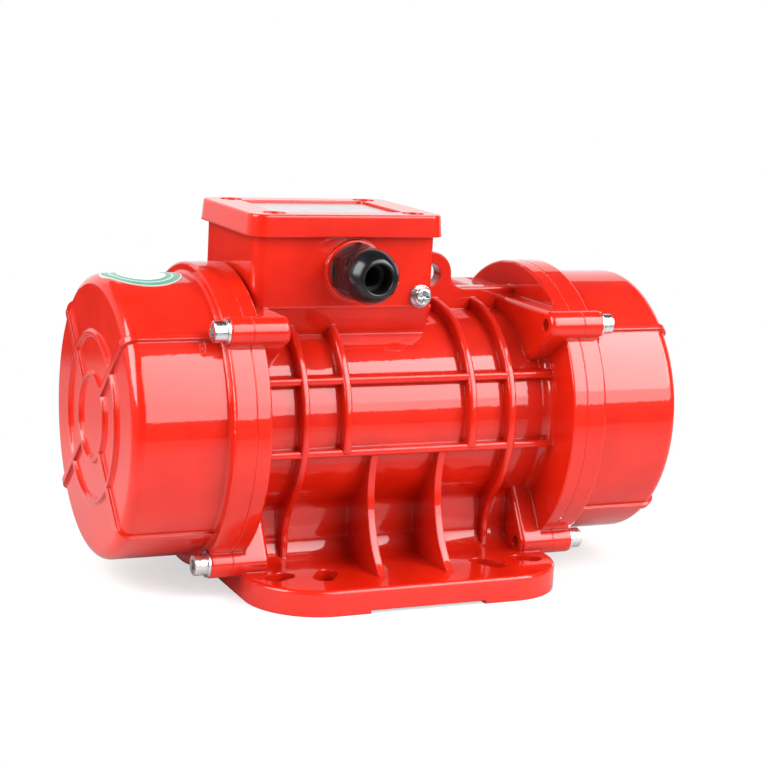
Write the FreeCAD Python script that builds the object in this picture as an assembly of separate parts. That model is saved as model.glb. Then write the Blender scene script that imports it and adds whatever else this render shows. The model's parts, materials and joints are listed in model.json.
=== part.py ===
import FreeCAD, Part
import math
import os

# Vibration motor, foot mounted, with a weight cover at each end. Millimetres.
# The shaft runs along X, the foot stands on Z = 0, and the cable gland faces -Y.
# The origin is the middle of the foot's underside. The terminal box sits left of the middle.

V = FreeCAD.Vector

# ---------------------------------------------------------------- driving sizes
# Shaft line and the stack of faces along it (distances from the middle, both ends alike)
SHAFT_Z = 79.0            # shaft height above the foot
BOSS_IN_X = 66.6          # inner end of the screw bosses
FLANGE_IN_X = 77.3        # inner face of the housing flange
JOINT_X = 84.7            # face where the weight cover meets the housing
COVER_RIM_T = 10.6        # thickness of the cover's rim, along X
COVER_CUP_L = 44.5        # depth of the cover's cup beyond its rim
RUN_CLEAR = 0.03          # radial clearance of parts that turn on each other
FACE_GAP = 0.3            # side gap between turning and still faces

# Housing casting
FLANGE_R = 72.5
FLANGE_COVE_R = 5.0       # cove between the barrel and the flange
BARREL_R = 49.0
BORE_R = 44.0
RIB_R = 55.0              # outer radius of the hoop ribs
RIB_T = 4.0
RIB_EDGE_R = 1.4
RIB_OUTER_X = 53.7
RIB_INNER_X = 32.6
RIB_TOE_Y = 33.0          # half width of the outer ribs where they stand on the foot
RIB_SWEEP_R = 24.0        # sweep from the hoop down to the foot
FIN_T = 3.6               # long fins
FIN_EDGE_R = 1.2
FIN_UP_DZ = 23.4          # upper fin above the shaft
FIN_LOW_DZ = 10.2         # lower fin below the shaft
FIN_REACH = 54.3          # fin edge, distance from the shaft
GUSSET_X = 17.6
GUSSET_T = 3.6
GUSSET_WAIST_Y = 50.4
GUSSET_TOE_Y = 69.0
FOOT_COVE_R = 10.0        # cove between the pedestal and the foot
PEDESTAL_HALF_Y = 28.0    # half width of the web between the barrel and the foot
PEDESTAL_BLEND_R = 6.0

# Screw circle of the covers
BOLT_CIRCLE_R = 75.2
BOLT_UP_DEG = 41.0
BOLT_LOW_DEG = -56.5
BOSS_R = 6.7
BOSS_EDGE_R = 2.6         # rounding of the bosses' and arms' inner edges
M6_R = 3.0
M6_FREE_R = 3.3
M6_HEAD_R = 5.0
M6_HEAD_H = 6.0
M6_KEY_AF = 5.0
M6_KEY_DEPTH = 3.2
M6_LEN = 25.0
WASHER_R = 6.2
WASHER_T = 1.0

# Foot
FOOT_HALF_X = 79.6
FOOT_HALF_Y = 83.4
FOOT_T = 12.2
FOOT_CORNER_R = 33.0
FOOT_EDGE_R = 1.8
FOOT_RELIEF = 1.6
FOOT_PAD_IN_X = 29.5
FOOT_POCKET_HALF_Y = 13.5
FOOT_POCKET_TOP = 24.0
FOOT_POCKET_WEB = 6.0
SLOT_W = 10.0
# Bolt patterns (pitch across X, pitch across Y); each slot runs from one pattern to the next
PATTERN_A = (80.0, 110.0)
PATTERN_B = (90.0, 125.0)
PATTERN_C = (124.0, 110.0)
PATTERN_D = (135.0, 115.0)

# Weight cover
CUP_R = 67.0
CUP_WALL = 3.5
CUP_CORNER_R = 5.5
BEAD_W = 3.2
BEAD_H = 1.5
BEAD_RING_IN_R = 20.3
BEAD_RING_OUT_R = 39.5
BEAD_DEG = 47.2
SEAL_R = 66.6             # middle radius of the cover seal groove
SEAL_W = 2.4
SEAL_DEPTH = 1.8

# Bearing shields and bearings (17 x 47 x 14)
SHIELD_R = 60.0
SHIELD_T = 8.0
SPIGOT_L = 8.0
SPIGOT_WALL = 5.0
HUB_R = 31.0
BRG_BORE_R = 8.5
BALL_PITCH_R = 16.0
BRG_RING_REACH = 7.5      # from the ball circle out to the bearing's outer face
BRG_W = 14.0
BRG_X = 69.0              # inner face of the bearing
BALL_R = 4.7
BALL_N = 7
BALL_GAP = 0.15           # free space round a ball in its grooves
RACE_GAP = 2.6            # half of the radial gap between the two races
CAGE_T = 1.4
CAGE_W = 7.0
SHIELD_SCREW_PCR = 52.5
M5_R = 2.5
M5_FREE_R = 2.75
M5_HEAD_R = 4.25
M5_HEAD_H = 5.0
M5_KEY_AF = 4.0
M5_KEY_DEPTH = 2.5
SHIELD_SCREW_L = 8.0
TIP_ROOM = 0.8            # free depth past a screw's tip

# Shaft and electrical parts
CORE_HALF_L = 34.0
STATOR_BORE_R = 26.0
AIR_GAP = 0.3
STATOR_SLOTS = 24
STATOR_SLOT_W = 4.0
STATOR_SLOT_IN_R = 28.0
STATOR_SLOT_OUT_R = 39.0
STATOR_SLOT_MOUTH = 1.8
COIL_OVERHANG = 19.0
COIL_IN_R = 28.6
COIL_OUT_R = 42.4
ROTOR_BARS = 18
ROTOR_BAR_R = 2.1
ROTOR_BAR_PCR = 21.8
END_RING_IN_R = 17.0
END_RING_OUT_R = 24.6
END_RING_L = 7.0
SHAFT_CORE_R = 12.0
SHAFT_CORE_HALF_L = 43.0
SHAFT_MID_R = 10.5
SHAFT_END_R = 8.0
SHAFT_END_X = 132.0
KEY_W = 5.0
KEY_H = 5.0
KEY_SUNK = 3.0

# Eccentric weights
SLEEVE_R = 11.8
SLEEVE_HOLE_GAP = 0.4
WEIGHT_X = 97.0           # inner face of the fixed weight
WEIGHT_T = 14.0
WEIGHT_GAP = 3.0          # ring between the fixed and the adjustable weight
WEIGHT_R = 57.0
WEIGHT_DEG = 150.0
WEIGHT_HUB_R = 18.0
SPACER_R = 14.0
CLAMP_SLIT = 2.4
CLAMP_EAR_Y = 12.0
CLAMP_EAR_Z = 29.0
CLAMP_SCREW_Z = 22.0
CIRCLIP_T = 1.2
CIRCLIP_R = 11.2
CIRCLIP_GROOVE_D = 0.8

# Terminal box
BOX_LEFT_X = -75.3
BOX_RIGHT_X = 16.3
BOX_HALF_Y = 35.5
BOX_CORNER_R = 5.5
BOX_WALL = 4.0
BOX_ROOT_Z = 134.3
BOX_FLOOR_Z = 136.0
BOX_DEPTH = 34.5          # from the inner floor to the rim
NECK_HALF_Y = 27.5
NECK_Z = 123.0
LEAD_HOLE_X = -47.0
LEAD_HOLE_R = 7.0
POST_R = 6.0
LID_SCREW_IN_X = 10.6     # from the box's outer walls to the lid screws
LID_SCREW_IN_Y = 6.0
LID_T = 6.1
LID_SKIRT = 2.2           # how far the lid's edge hangs below the box's rim
LID_OVERHANG = 3.4
LID_FIT = 0.3
LID_CORNER_R = 8.0
LID_EDGE_R = 1.0
LID_DRAFT = 0.8           # how far the lid's sides lean in at the top
GASKET_T = 2.0
LID_SINK_R = 5.6
LID_SINK_DEPTH = 4.0
LID_HEAD_R = 4.6
LID_HEAD_H = 3.0
LID_SCREW_L = 16.0
PLATE_HALF_X = 32.5       # recess for the nameplate
PLATE_HALF_Y = 25.0
PLATE_CORNER_R = 3.0
PLATE_DEPTH = 2.0
PLATE_T = 0.8
PLATE_MARGIN = 0.8

# Lifting lug and spine
LUG_X = 29.3
LUG_Z = 145.6
LUG_R = 11.4
LUG_HOLE_R = 5.5
LUG_T = 8.0
LUG_BLEND_R = 6.0
SPINE_Z = 139.2

# Cable gland (M20) and earth screw
GLAND_X = -26.0
GLAND_Z = 152.4
GLAND_PAD_R = 14.7
GLAND_PAD_T = 1.8
GLAND_THREAD_R = 10.0
GLAND_HEX_AF = 24.0
GLAND_HEX_T = 5.0
GLAND_NECK_R = 9.6
GLAND_NECK_L = 11.0
GLAND_BORE_R = 5.0
GLAND_CAP_L = 21.0
GLAND_GRIP_L = 9.0        # hexagonal grip at the back of the cap
GLAND_GRIP_R = 13.5
GLAND_DOME_L = 9.2
GLAND_LIP_R = 7.7
GLAND_CAP_R = 12.9
GLAND_CAP_MOUTH_R = 6.8
GLAND_SEAL_T = 1.4
GLAND_SEAL_R = 12.6
LOCKNUT_AF = 25.0
LOCKNUT_T = 5.0
EARTH_X = 9.1
EARTH_Z = 139.9
EARTH_R = 2.5
EARTH_HEAD_R = 4.4
EARTH_HEAD_H = 3.2
EARTH_WASHER_R = 5.4
EARTH_WASHER_T = 1.0
EARTH_LEN = 10.0
EARTH_BOSS_R = 6.0

# Terminal block
BLOCK_X = -12.0
BLOCK_HALF_X = 10.0
BLOCK_HALF_Y = 21.0
BLOCK_H = 12.0
STUD_R = 2.0
STUD_PITCH = 12.0
STUD_TALL = 9.0
NUT_AF = 7.0
NUT_T = 3.2
BLOCK_SCREW_R = 1.75
BLOCK_SCREW_HEAD_R = 3.2
BLOCK_SCREW_HEAD_H = 2.2
BLOCK_SCREW_L = 10.0
BLOCK_SCREW_IN = 3.6      # from the block's end to its fixing screw

# Round label on the left cover
LABEL_X = -118.5
LABEL_R = 19.2
LABEL_T = 0.25

# ---------------------------------------------------------------- derived faces
RIM_X = JOINT_X + COVER_RIM_T
CUP_END_X = RIM_X + COVER_CUP_L
BRG_OUT_X = BRG_X + BRG_W
BRG_OUT_R = BALL_PITCH_R + BRG_RING_REACH
WEIGHT_OUT_X = WEIGHT_X + WEIGHT_T
ADJ_X = WEIGHT_OUT_X + WEIGHT_GAP
ADJ_OUT_X = ADJ_X + WEIGHT_T
BOX_MID_X = (BOX_LEFT_X + BOX_RIGHT_X) / 2
BOX_TOP_Z = BOX_FLOOR_Z + BOX_DEPTH
LID_BOTTOM_Z = BOX_TOP_Z - LID_SKIRT
LID_TOP_Z = BOX_TOP_Z + GASKET_T + LID_T
ENDS = (-1, 1)


# ---------------------------------------------------------------- helpers
def cyl_x(x0, x1, r, y=0.0, z=SHAFT_Z):
    return Part.makeCylinder(r, x1 - x0, V(x0, y, z), V(1, 0, 0))


def cyl_y(y0, y1, r, x, z):
    return Part.makeCylinder(r, y1 - y0, V(x, y0, z), V(0, 1, 0))


def cyl_z(z0, z1, r, x, y):
    return Part.makeCylinder(r, z1 - z0, V(x, y, z0), V(0, 0, 1))


def block(x0, x1, y0, y1, z0, z1):
    return Part.makeBox(x1 - x0, y1 - y0, z1 - z0, V(x0, y0, z0))


def path_wire(start, steps):
    """Wire from points and three-point arcs: a step is one point, or (through, end)."""
    edges, here = [], start
    for step in steps:
        if isinstance(step, tuple):
            edges.append(Part.Arc(here, step[0], step[1]).toShape())
            here = step[1]
        else:
            edges.append(Part.makeLine(here, step))
            here = step
    if (here - start).Length > 1e-6:
        edges.append(Part.makeLine(here, start))
    return Part.Wire(edges)


def prism_x(points, x0, x1):
    wire = Part.makePolygon([V(x0, y, z) for y, z in points + [points[0]]])
    return Part.Face(wire).extrude(V(x1 - x0, 0, 0))


def turned_x(points):
    """Solid turned about the shaft line from (x, radius) points."""
    wire = Part.makePolygon([V(x, 0, SHAFT_Z + r) for x, r in points + [points[0]]])
    return Part.Face(wire).revolve(V(0, 0, SHAFT_Z), V(1, 0, 0), 360)


def round_block(x0, x1, y0, y1, z0, z1, r):
    body = block(x0, x1, y0, y1, z0, z1)
    upright = [e for e in body.Edges if abs(e.Vertexes[0].Z - e.Vertexes[1].Z) > (z1 - z0) / 2]
    return body.makeFillet(min(r, (x1 - x0) / 2 - 0.01, (y1 - y0) / 2 - 0.01), upright)


def tapered_block(x0, x1, y0, y1, z0, z1, r, lean):
    """Upright block with rounded corners whose sides lean in by lean at the top."""
    rings = []
    for z, d in ((z0, 0.0), (z1, lean)):
        flat = round_block(x0 + d, x1 - d, y0 + d, y1 - d, z, z + 1, r - d)
        rings.append(Part.Wire(Part.__sortEdges__(edges_at_z(flat, z))))
    return Part.makeLoft(rings, True, True)


def edges_at_z(shape, z):
    return [e for e in shape.Edges
            if abs(e.BoundBox.ZMin - z) < 1e-4 and abs(e.BoundBox.ZMax - z) < 1e-4]


def edges_at_x(shape, x):
    return [e for e in shape.Edges
            if abs(e.BoundBox.XMin - x) < 1e-4 and abs(e.BoundBox.XMax - x) < 1e-4]


def hexagon(af, length, origin, axis, turn=0.0):
    """Hexagonal bar of the given width across flats, along axis."""
    r = af / math.sqrt(3)
    pts = [V(r * math.cos(math.radians(60 * i + turn)), r * math.sin(math.radians(60 * i + turn)), 0)
           for i in range(7)]
    bar = Part.Face(Part.makePolygon(pts)).extrude(V(0, 0, length))
    bar.Placement = FreeCAD.Placement(origin, FreeCAD.Rotation(V(0, 0, 1), axis))
    return bar


def fuse(shapes):
    return shapes[0].multiFuse(shapes[1:]).removeSplitter() if len(shapes) > 1 else shapes[0]


def at_end(end, build):
    """The right end's piece for end +1, turned half round to the left end for end -1."""
    shape = build()
    if end < 0:
        shape.rotate(V(0, 0, 0), V(0, 0, 1), 180)
    return shape


def spun(shape, deg):
    out = shape.copy()
    out.rotate(V(0, 0, SHAFT_Z), V(1, 0, 0), deg)
    return out


def bolt_points():
    out = []
    for deg in (BOLT_UP_DEG, BOLT_LOW_DEG):
        for side in (-1, 1):
            out.append((side * BOLT_CIRCLE_R * math.cos(math.radians(deg)),
                        SHAFT_Z + BOLT_CIRCLE_R * math.sin(math.radians(deg))))
    return out


def cap_screw(r, length, head_r, head_h, key_af, key_depth):
    """Socket head cap screw along +Z: the head's seat is at Z = 0, the shank goes down."""
    head = Part.makeCylinder(head_r, head_h)
    head = head.makeChamfer(min(0.5, head_h / 4), edges_at_z(head, head_h))
    shank = Part.makeCylinder(r, length, V(0, 0, -length))
    shank = shank.makeChamfer(min(0.5, r / 4), edges_at_z(shank, -length))
    key = hexagon(key_af, key_depth, V(0, 0, head_h - key_depth), V(0, 0, 1))
    return head.fuse(shank).removeSplitter().cut(key)


def placed(shape, origin, axis):
    out = shape.copy()
    out.Placement = FreeCAD.Placement(origin, FreeCAD.Rotation(V(0, 0, 1), axis))
    return out


# ---------------------------------------------------------------- housing
def foot():
    plate = round_block(-FOOT_HALF_X, FOOT_HALF_X, -FOOT_HALF_Y, FOOT_HALF_Y, 0, FOOT_T,
                        FOOT_CORNER_R)
    plate = plate.makeFillet(FOOT_EDGE_R, edges_at_z(plate, FOOT_T))
    relief = block(-FOOT_PAD_IN_X, FOOT_PAD_IN_X, -FOOT_HALF_Y - 1, FOOT_HALF_Y + 1,
                   -1, FOOT_RELIEF)
    return plate.cut(relief)


def foot_slots():
    """Slots that each serve two bolt patterns: A to B near the middle, C to D outside."""
    cuts = []
    for near, far in ((PATTERN_A, PATTERN_B), (PATTERN_C, PATTERN_D)):
        for sx in (-1, 1):
            for sy in (-1, 1):
                a = V(sx * near[0] / 2, sy * near[1] / 2, -1)
                b = V(sx * far[0] / 2, sy * far[1] / 2, -1)
                run = b - a
                side = V(-run.y, run.x, 0).normalize() * (SLOT_W / 2)
                tip = V(run.x, run.y, 0).normalize() * (SLOT_W / 2)
                wire = path_wire(a + side, [(a - tip, a - side), b - side, (b + tip, b + side)])
                cuts.append(Part.Face(wire).extrude(V(0, 0, FOOT_T + 2)))
    return cuts


def sweep_out(r_from, sweep_r, half_y):
    """Outline that leaves a round of r_from at a tangent and turns straight down at half_y."""
    reach = r_from + sweep_r
    turn = math.acos((half_y + sweep_r) / reach)
    zc = SHAFT_Z - reach * math.sin(turn)
    leave = (r_from * math.cos(turn), SHAFT_Z - r_from * math.sin(turn))
    mid = (reach * math.cos(turn) - sweep_r * math.cos(turn / 2),
           zc + sweep_r * math.sin(turn / 2))
    return leave, mid, (half_y, zc)


def pedestal():
    """Web between the barrel's underside and the foot, with a cove on each side."""
    r, w = FOOT_COVE_R, PEDESTAL_HALF_Y
    leave, mid, down = sweep_out(BARREL_R, PEDESTAL_BLEND_R, w)
    slant = r * (1 - math.sqrt(0.5))

    def p(y, z):
        return V(-FLANGE_IN_X, y, z)

    wire = path_wire(p(-leave[0], leave[1]),
                     [(p(-mid[0], mid[1]), p(-down[0], down[1])), p(-w, FOOT_T + r),
                      (p(-w - slant, FOOT_T + slant), p(-w - r, FOOT_T)), p(-w - r, FOOT_T / 2),
                      p(w + r, FOOT_T / 2), p(w + r, FOOT_T),
                      (p(w + slant, FOOT_T + slant), p(w, FOOT_T + r)), p(*down),
                      (p(*mid), p(*leave)), p(0, SHAFT_Z - BORE_R - 1)])
    return Part.Face(wire).extrude(V(2 * FLANGE_IN_X, 0, 0))


def hoop_ribs():
    """Hoops round the barrel: the inner two stop at the lower fin, the outer two reach the foot."""
    out = []
    for end in ENDS:
        x0 = end * RIB_OUTER_X - RIB_T / 2
        hoop = cyl_x(x0, x0 + RIB_T, RIB_R)
        hoop = hoop.makeFillet(RIB_EDGE_R, [e for e in hoop.Edges if e.BoundBox.DiagonalLength > RIB_R])
        out += [hoop, rib_leg(x0)]
        x1 = end * RIB_INNER_X - RIB_T / 2
        hoop = cyl_x(x1, x1 + RIB_T, RIB_R)
        hoop = hoop.makeFillet(RIB_EDGE_R, [e for e in hoop.Edges if e.BoundBox.DiagonalLength > RIB_R])
        low = block(x1 - 1, x1 + RIB_T + 1, -RIB_R - 1, RIB_R + 1, -1, SHAFT_Z - FIN_LOW_DZ)
        out.append(hoop.cut(low))
    return out


def rib_leg(x0):
    """Web that leaves the hoop at a tangent and sweeps down to the foot on both sides."""
    leave, mid, down = sweep_out(RIB_R, RIB_SWEEP_R, RIB_TOE_Y)

    def p(y, z):
        return V(x0, y, z)

    wire = path_wire(p(-leave[0], leave[1]),
                     [(p(-mid[0], mid[1]), p(-down[0], down[1])), p(-RIB_TOE_Y, FOOT_T - 1),
                      p(RIB_TOE_Y, FOOT_T - 1), p(*down), (p(*mid), p(*leave)), p(0, SHAFT_Z)])
    leg = Part.Face(wire).extrude(V(RIB_T, 0, 0))
    rounded = [e for e in leg.Edges if e.BoundBox.XLength < 1e-6
               and abs(e.BoundBox.Center.y) > RIB_TOE_Y - 1e-3 and e.BoundBox.ZMax < SHAFT_Z - 1]
    return leg.makeFillet(RIB_EDGE_R, rounded)


def fins():
    out = []
    for dz in (FIN_UP_DZ, -FIN_LOW_DZ):
        reach = math.sqrt(FIN_REACH ** 2 - dz ** 2)
        bar = block(-FLANGE_IN_X, FLANGE_IN_X, -reach, reach,
                    SHAFT_Z + dz - FIN_T / 2, SHAFT_Z + dz + FIN_T / 2)
        long_edges = [e for e in bar.Edges if e.BoundBox.XLength > FLANGE_IN_X]
        out.append(bar.makeFillet(FIN_EDGE_R, long_edges))
    return out


def gussets():
    """Upright plates that sweep from the lower fin out to the foot."""
    out = []
    top_z = SHAFT_Z - FIN_LOW_DZ
    top_y = math.sqrt(FIN_REACH ** 2 - FIN_LOW_DZ ** 2) - 0.2
    for end in ENDS:
        for side in (-1, 1):
            x0 = end * GUSSET_X - GUSSET_T / 2
            wire = path_wire(V(x0, side * top_y, top_z),
                             [(V(x0, side * GUSSET_WAIST_Y, (top_z + FOOT_T) / 2 + 3),
                               V(x0, side * GUSSET_TOE_Y, FOOT_T - 0.5)),
                              V(x0, side * NECK_HALF_Y / 2, FOOT_T - 0.5),
                              V(x0, side * NECK_HALF_Y / 2, SHAFT_Z - BARREL_R + 4),
                              V(x0, side * (BARREL_R - 3), top_z)])
            out.append(Part.Face(wire).extrude(V(GUSSET_T, 0, 0)))
    return out


def boss_tangent(centre, root):
    """Where the line from root, on the barrel, touches the far side of the boss at centre."""
    d = math.hypot(root[0] - centre[0], root[1] - centre[1])
    u = ((root[0] - centre[0]) / d, (root[1] - centre[1]) / d)
    side = 1 if u[1] > 0 else -1
    w = (side * u[1], -side * u[0])
    c = BOSS_R / d
    k = math.sqrt(1 - c * c)
    return (centre[0] + BOSS_R * (c * u[0] + k * w[0]), centre[1] + BOSS_R * (c * u[1] + k * w[1]))


def boss_arm(centre, root, up, x_in, x_out):
    """Cast arm from boss to boss: flat on the side that up names, drawn in to the barrel."""
    touch = boss_tangent(centre, root)
    flat_z = centre[1] + up * BOSS_R
    out = V(0, touch[0] - centre[0], touch[1] - centre[1]) + V(0, 0, up * BOSS_R)
    out = out.normalize() * BOSS_R
    mid = (centre[0] + out.y, centre[1] + out.z)

    def p(y, z):
        return V(x_in, y, z)

    wire = path_wire(p(-centre[0], flat_z),
                     [p(centre[0], flat_z), (p(*mid), p(*touch)), p(*root), p(0, SHAFT_Z),
                      p(-root[0], root[1]), p(-touch[0], touch[1]),
                      (p(-mid[0], mid[1]), p(-centre[0], flat_z))])
    arm = Part.Face(wire).extrude(V(x_out - x_in, 0, 0))
    inner = [e for e in edges_at_x(arm, x_in)
             if abs(e.BoundBox.Center.z - SHAFT_Z) > abs(root[1] - SHAFT_Z) - 1e-3]
    return arm.makeFillet(BOSS_EDGE_R, inner)


def flange_cove(end):
    r, x = FLANGE_COVE_R, FLANGE_IN_X
    slant = r * (1 - math.sqrt(0.5))

    def p(dx, dr):
        return V(end * (x + dx), 0, SHAFT_Z + dr)

    wire = path_wire(p(0.5, BARREL_R - 1),
                     [p(-r, BARREL_R - 1), p(-r, BARREL_R),
                      (p(-slant, BARREL_R + slant), p(0, BARREL_R + r)), p(0.5, BARREL_R + r)])
    return Part.Face(wire).revolve(V(0, 0, SHAFT_Z), V(1, 0, 0), 360)


def flange_ends():
    """Flanges, screw bosses and the cast arms that tie the bosses to the barrel."""
    out = []
    points = bolt_points()
    upper = (BARREL_R * 0.80, SHAFT_Z + BARREL_R * 0.58)
    lower = (BARREL_R * 0.66, SHAFT_Z - BARREL_R * 0.73)
    for end in ENDS:
        x0, x1 = sorted((end * FLANGE_IN_X, end * JOINT_X))
        disc = cyl_x(x0, x1, FLANGE_R)
        out.append(disc.makeFillet(1.0, edges_at_x(disc, end * FLANGE_IN_X)))
        out.append(flange_cove(end))
        b0, b1 = sorted((end * (BOSS_IN_X + BOSS_EDGE_R + 1), end * JOINT_X))
        out += [cyl_x(b0, b1, BOSS_R, y, z) for y, z in points]
        x_in, x_out = end * BOSS_IN_X, end * (FLANGE_IN_X + 1)
        out.append(boss_arm(points[1], upper, 1, x_in, x_out))
        out.append(boss_arm(points[3], lower, -1, x_in, x_out))
    return out


def box_shell():
    outer = round_block(BOX_LEFT_X, BOX_RIGHT_X, -BOX_HALF_Y, BOX_HALF_Y,
                        BOX_ROOT_Z, BOX_TOP_Z, BOX_CORNER_R)
    outer = outer.makeFillet(1.2, edges_at_z(outer, BOX_ROOT_Z))
    neck = prism_x([(-BOX_HALF_Y + 2.2, BOX_ROOT_Z + 1), (-BOX_HALF_Y + 2.2, BOX_ROOT_Z),
                    (-NECK_HALF_Y, NECK_Z), (0, SHAFT_Z),
                    (NECK_HALF_Y, NECK_Z), (BOX_HALF_Y - 2.2, BOX_ROOT_Z),
                    (BOX_HALF_Y - 2.2, BOX_ROOT_Z + 1)],
                   BOX_LEFT_X, BOX_RIGHT_X)
    pad = cyl_y(-BOX_HALF_Y - GLAND_PAD_T, -BOX_HALF_Y + 1, GLAND_PAD_R, GLAND_X, GLAND_Z)
    pad = pad.makeFillet(0.8, [e for e in pad.Edges
                               if e.BoundBox.YMax < -BOX_HALF_Y and e.BoundBox.XLength > 2])
    return [outer, neck, pad]


def lid_points():
    return [(x, y) for x in (BOX_LEFT_X + LID_SCREW_IN_X, BOX_RIGHT_X - LID_SCREW_IN_X)
            for y in (-BOX_HALF_Y + LID_SCREW_IN_Y, BOX_HALF_Y - LID_SCREW_IN_Y)]


def box_inside():
    """The hollow of the terminal box, with its corner posts left standing."""
    hollow = round_block(BOX_LEFT_X + BOX_WALL, BOX_RIGHT_X - BOX_WALL,
                         -BOX_HALF_Y + BOX_WALL, BOX_HALF_Y - BOX_WALL,
                         BOX_FLOOR_Z, BOX_TOP_Z + 1, max(BOX_CORNER_R - BOX_WALL, 0.8))
    for x, y in lid_points():
        hollow = hollow.cut(cyl_z(BOX_FLOOR_Z - 1, BOX_TOP_Z + 2, POST_R, x, y))
    inner_wall = -BOX_HALF_Y + BOX_WALL
    stub = cyl_y(inner_wall - 1, earth_hole_end() + 2.0, EARTH_BOSS_R, EARTH_X, EARTH_Z)
    return hollow.cut(stub)


def earth_hole_end():
    return -BOX_HALF_Y - EARTH_WASHER_T + EARTH_LEN + TIP_ROOM


def lug_and_spine():
    half = LUG_T / 2
    knee_x = LUG_X + LUG_R
    plate = cyl_y(-half, half, LUG_R, LUG_X, LUG_Z)
    web = block(BOX_RIGHT_X - 1, knee_x, -half, half, SHAFT_Z + BARREL_R - 3, LUG_Z)
    spine = block(BOX_RIGHT_X - 1, FLANGE_IN_X + 1, -half, half,
                  SHAFT_Z + BARREL_R - 3, SPINE_Z)
    spine = spine.makeFillet(1.2, [e for e in spine.Edges
                                   if e.BoundBox.XLength > 10 and e.BoundBox.ZMin > SPINE_Z - 1])
    blend = block(knee_x - 0.5, knee_x + LUG_BLEND_R, -half, half, SPINE_Z - 1,
                  SPINE_Z + LUG_BLEND_R)
    blend = blend.cut(cyl_y(-half - 1, half + 1, LUG_BLEND_R, knee_x + LUG_BLEND_R,
                            SPINE_Z + LUG_BLEND_R))
    return [plate, web, spine, blend]


def pocket_cuts():
    """Lightening pockets in the underside, between the lines of the ribs and gussets."""
    web = FOOT_POCKET_WEB / 2
    lines = [-RIB_OUTER_X, -GUSSET_X - 2.5, GUSSET_X + 2.5, RIB_OUTER_X]
    cuts = []
    for a, b in zip(lines, lines[1:]):
        half = min((b - a) / 2 - web, FOOT_POCKET_HALF_Y)
        mid = (a + b) / 2
        cuts.append(round_block(mid - half, mid + half, -FOOT_POCKET_HALF_Y, FOOT_POCKET_HALF_Y,
                                -1, FOOT_POCKET_TOP, 5.0))
    return cuts


def motor_housing():
    solids = [cyl_x(-JOINT_X, JOINT_X, BARREL_R), foot(), pedestal()]
    solids += hoop_ribs() + fins() + gussets() + flange_ends() + box_shell() + lug_and_spine()
    body = fuse(solids)
    cuts = [cyl_x(-JOINT_X - 1, JOINT_X + 1, BORE_R), box_inside(),
            cyl_z(SHAFT_Z, BOX_FLOOR_Z + 1, LEAD_HOLE_R, LEAD_HOLE_X, 0),
            cyl_y(-LUG_T, LUG_T, LUG_HOLE_R, LUG_X, LUG_Z),
            cyl_y(-BOX_HALF_Y - GLAND_PAD_T - 1, -BOX_HALF_Y + BOX_WALL + 1, GLAND_THREAD_R,
                  GLAND_X, GLAND_Z),
            cyl_y(-BOX_HALF_Y - 1, earth_hole_end(), EARTH_R, EARTH_X, EARTH_Z)]
    cuts += foot_slots() + pocket_cuts()
    for y, z in bolt_points():
        for end in ENDS:
            x0, x1 = sorted((end * (BOSS_IN_X - 1), end * (JOINT_X + 1)))
            cuts.append(cyl_x(x0, x1, M6_R, y, z))
    for end in ENDS:
        for y, z in shield_screw_points():
            x0, x1 = sorted((end * (shield_seat_x() - SHIELD_SCREW_L - TIP_ROOM), end * (JOINT_X + 1)))
            cuts.append(cyl_x(x0, x1, M5_R, y, z))
    depth = LID_SCREW_L + TIP_ROOM
    for x, y in lid_points():
        cuts.append(cyl_z(lid_seat_z() - depth, BOX_TOP_Z + 1, M5_R, x, y))
    for x, y in block_screw_points():
        cuts.append(cyl_z(BOX_FLOOR_Z + BLOCK_H - BLOCK_SCREW_HEAD_H - BLOCK_SCREW_L
                          - TIP_ROOM, BOX_FLOOR_Z + 1, BLOCK_SCREW_R, x, y))
    return body.cut(Part.makeCompound(cuts)).removeSplitter()


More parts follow.
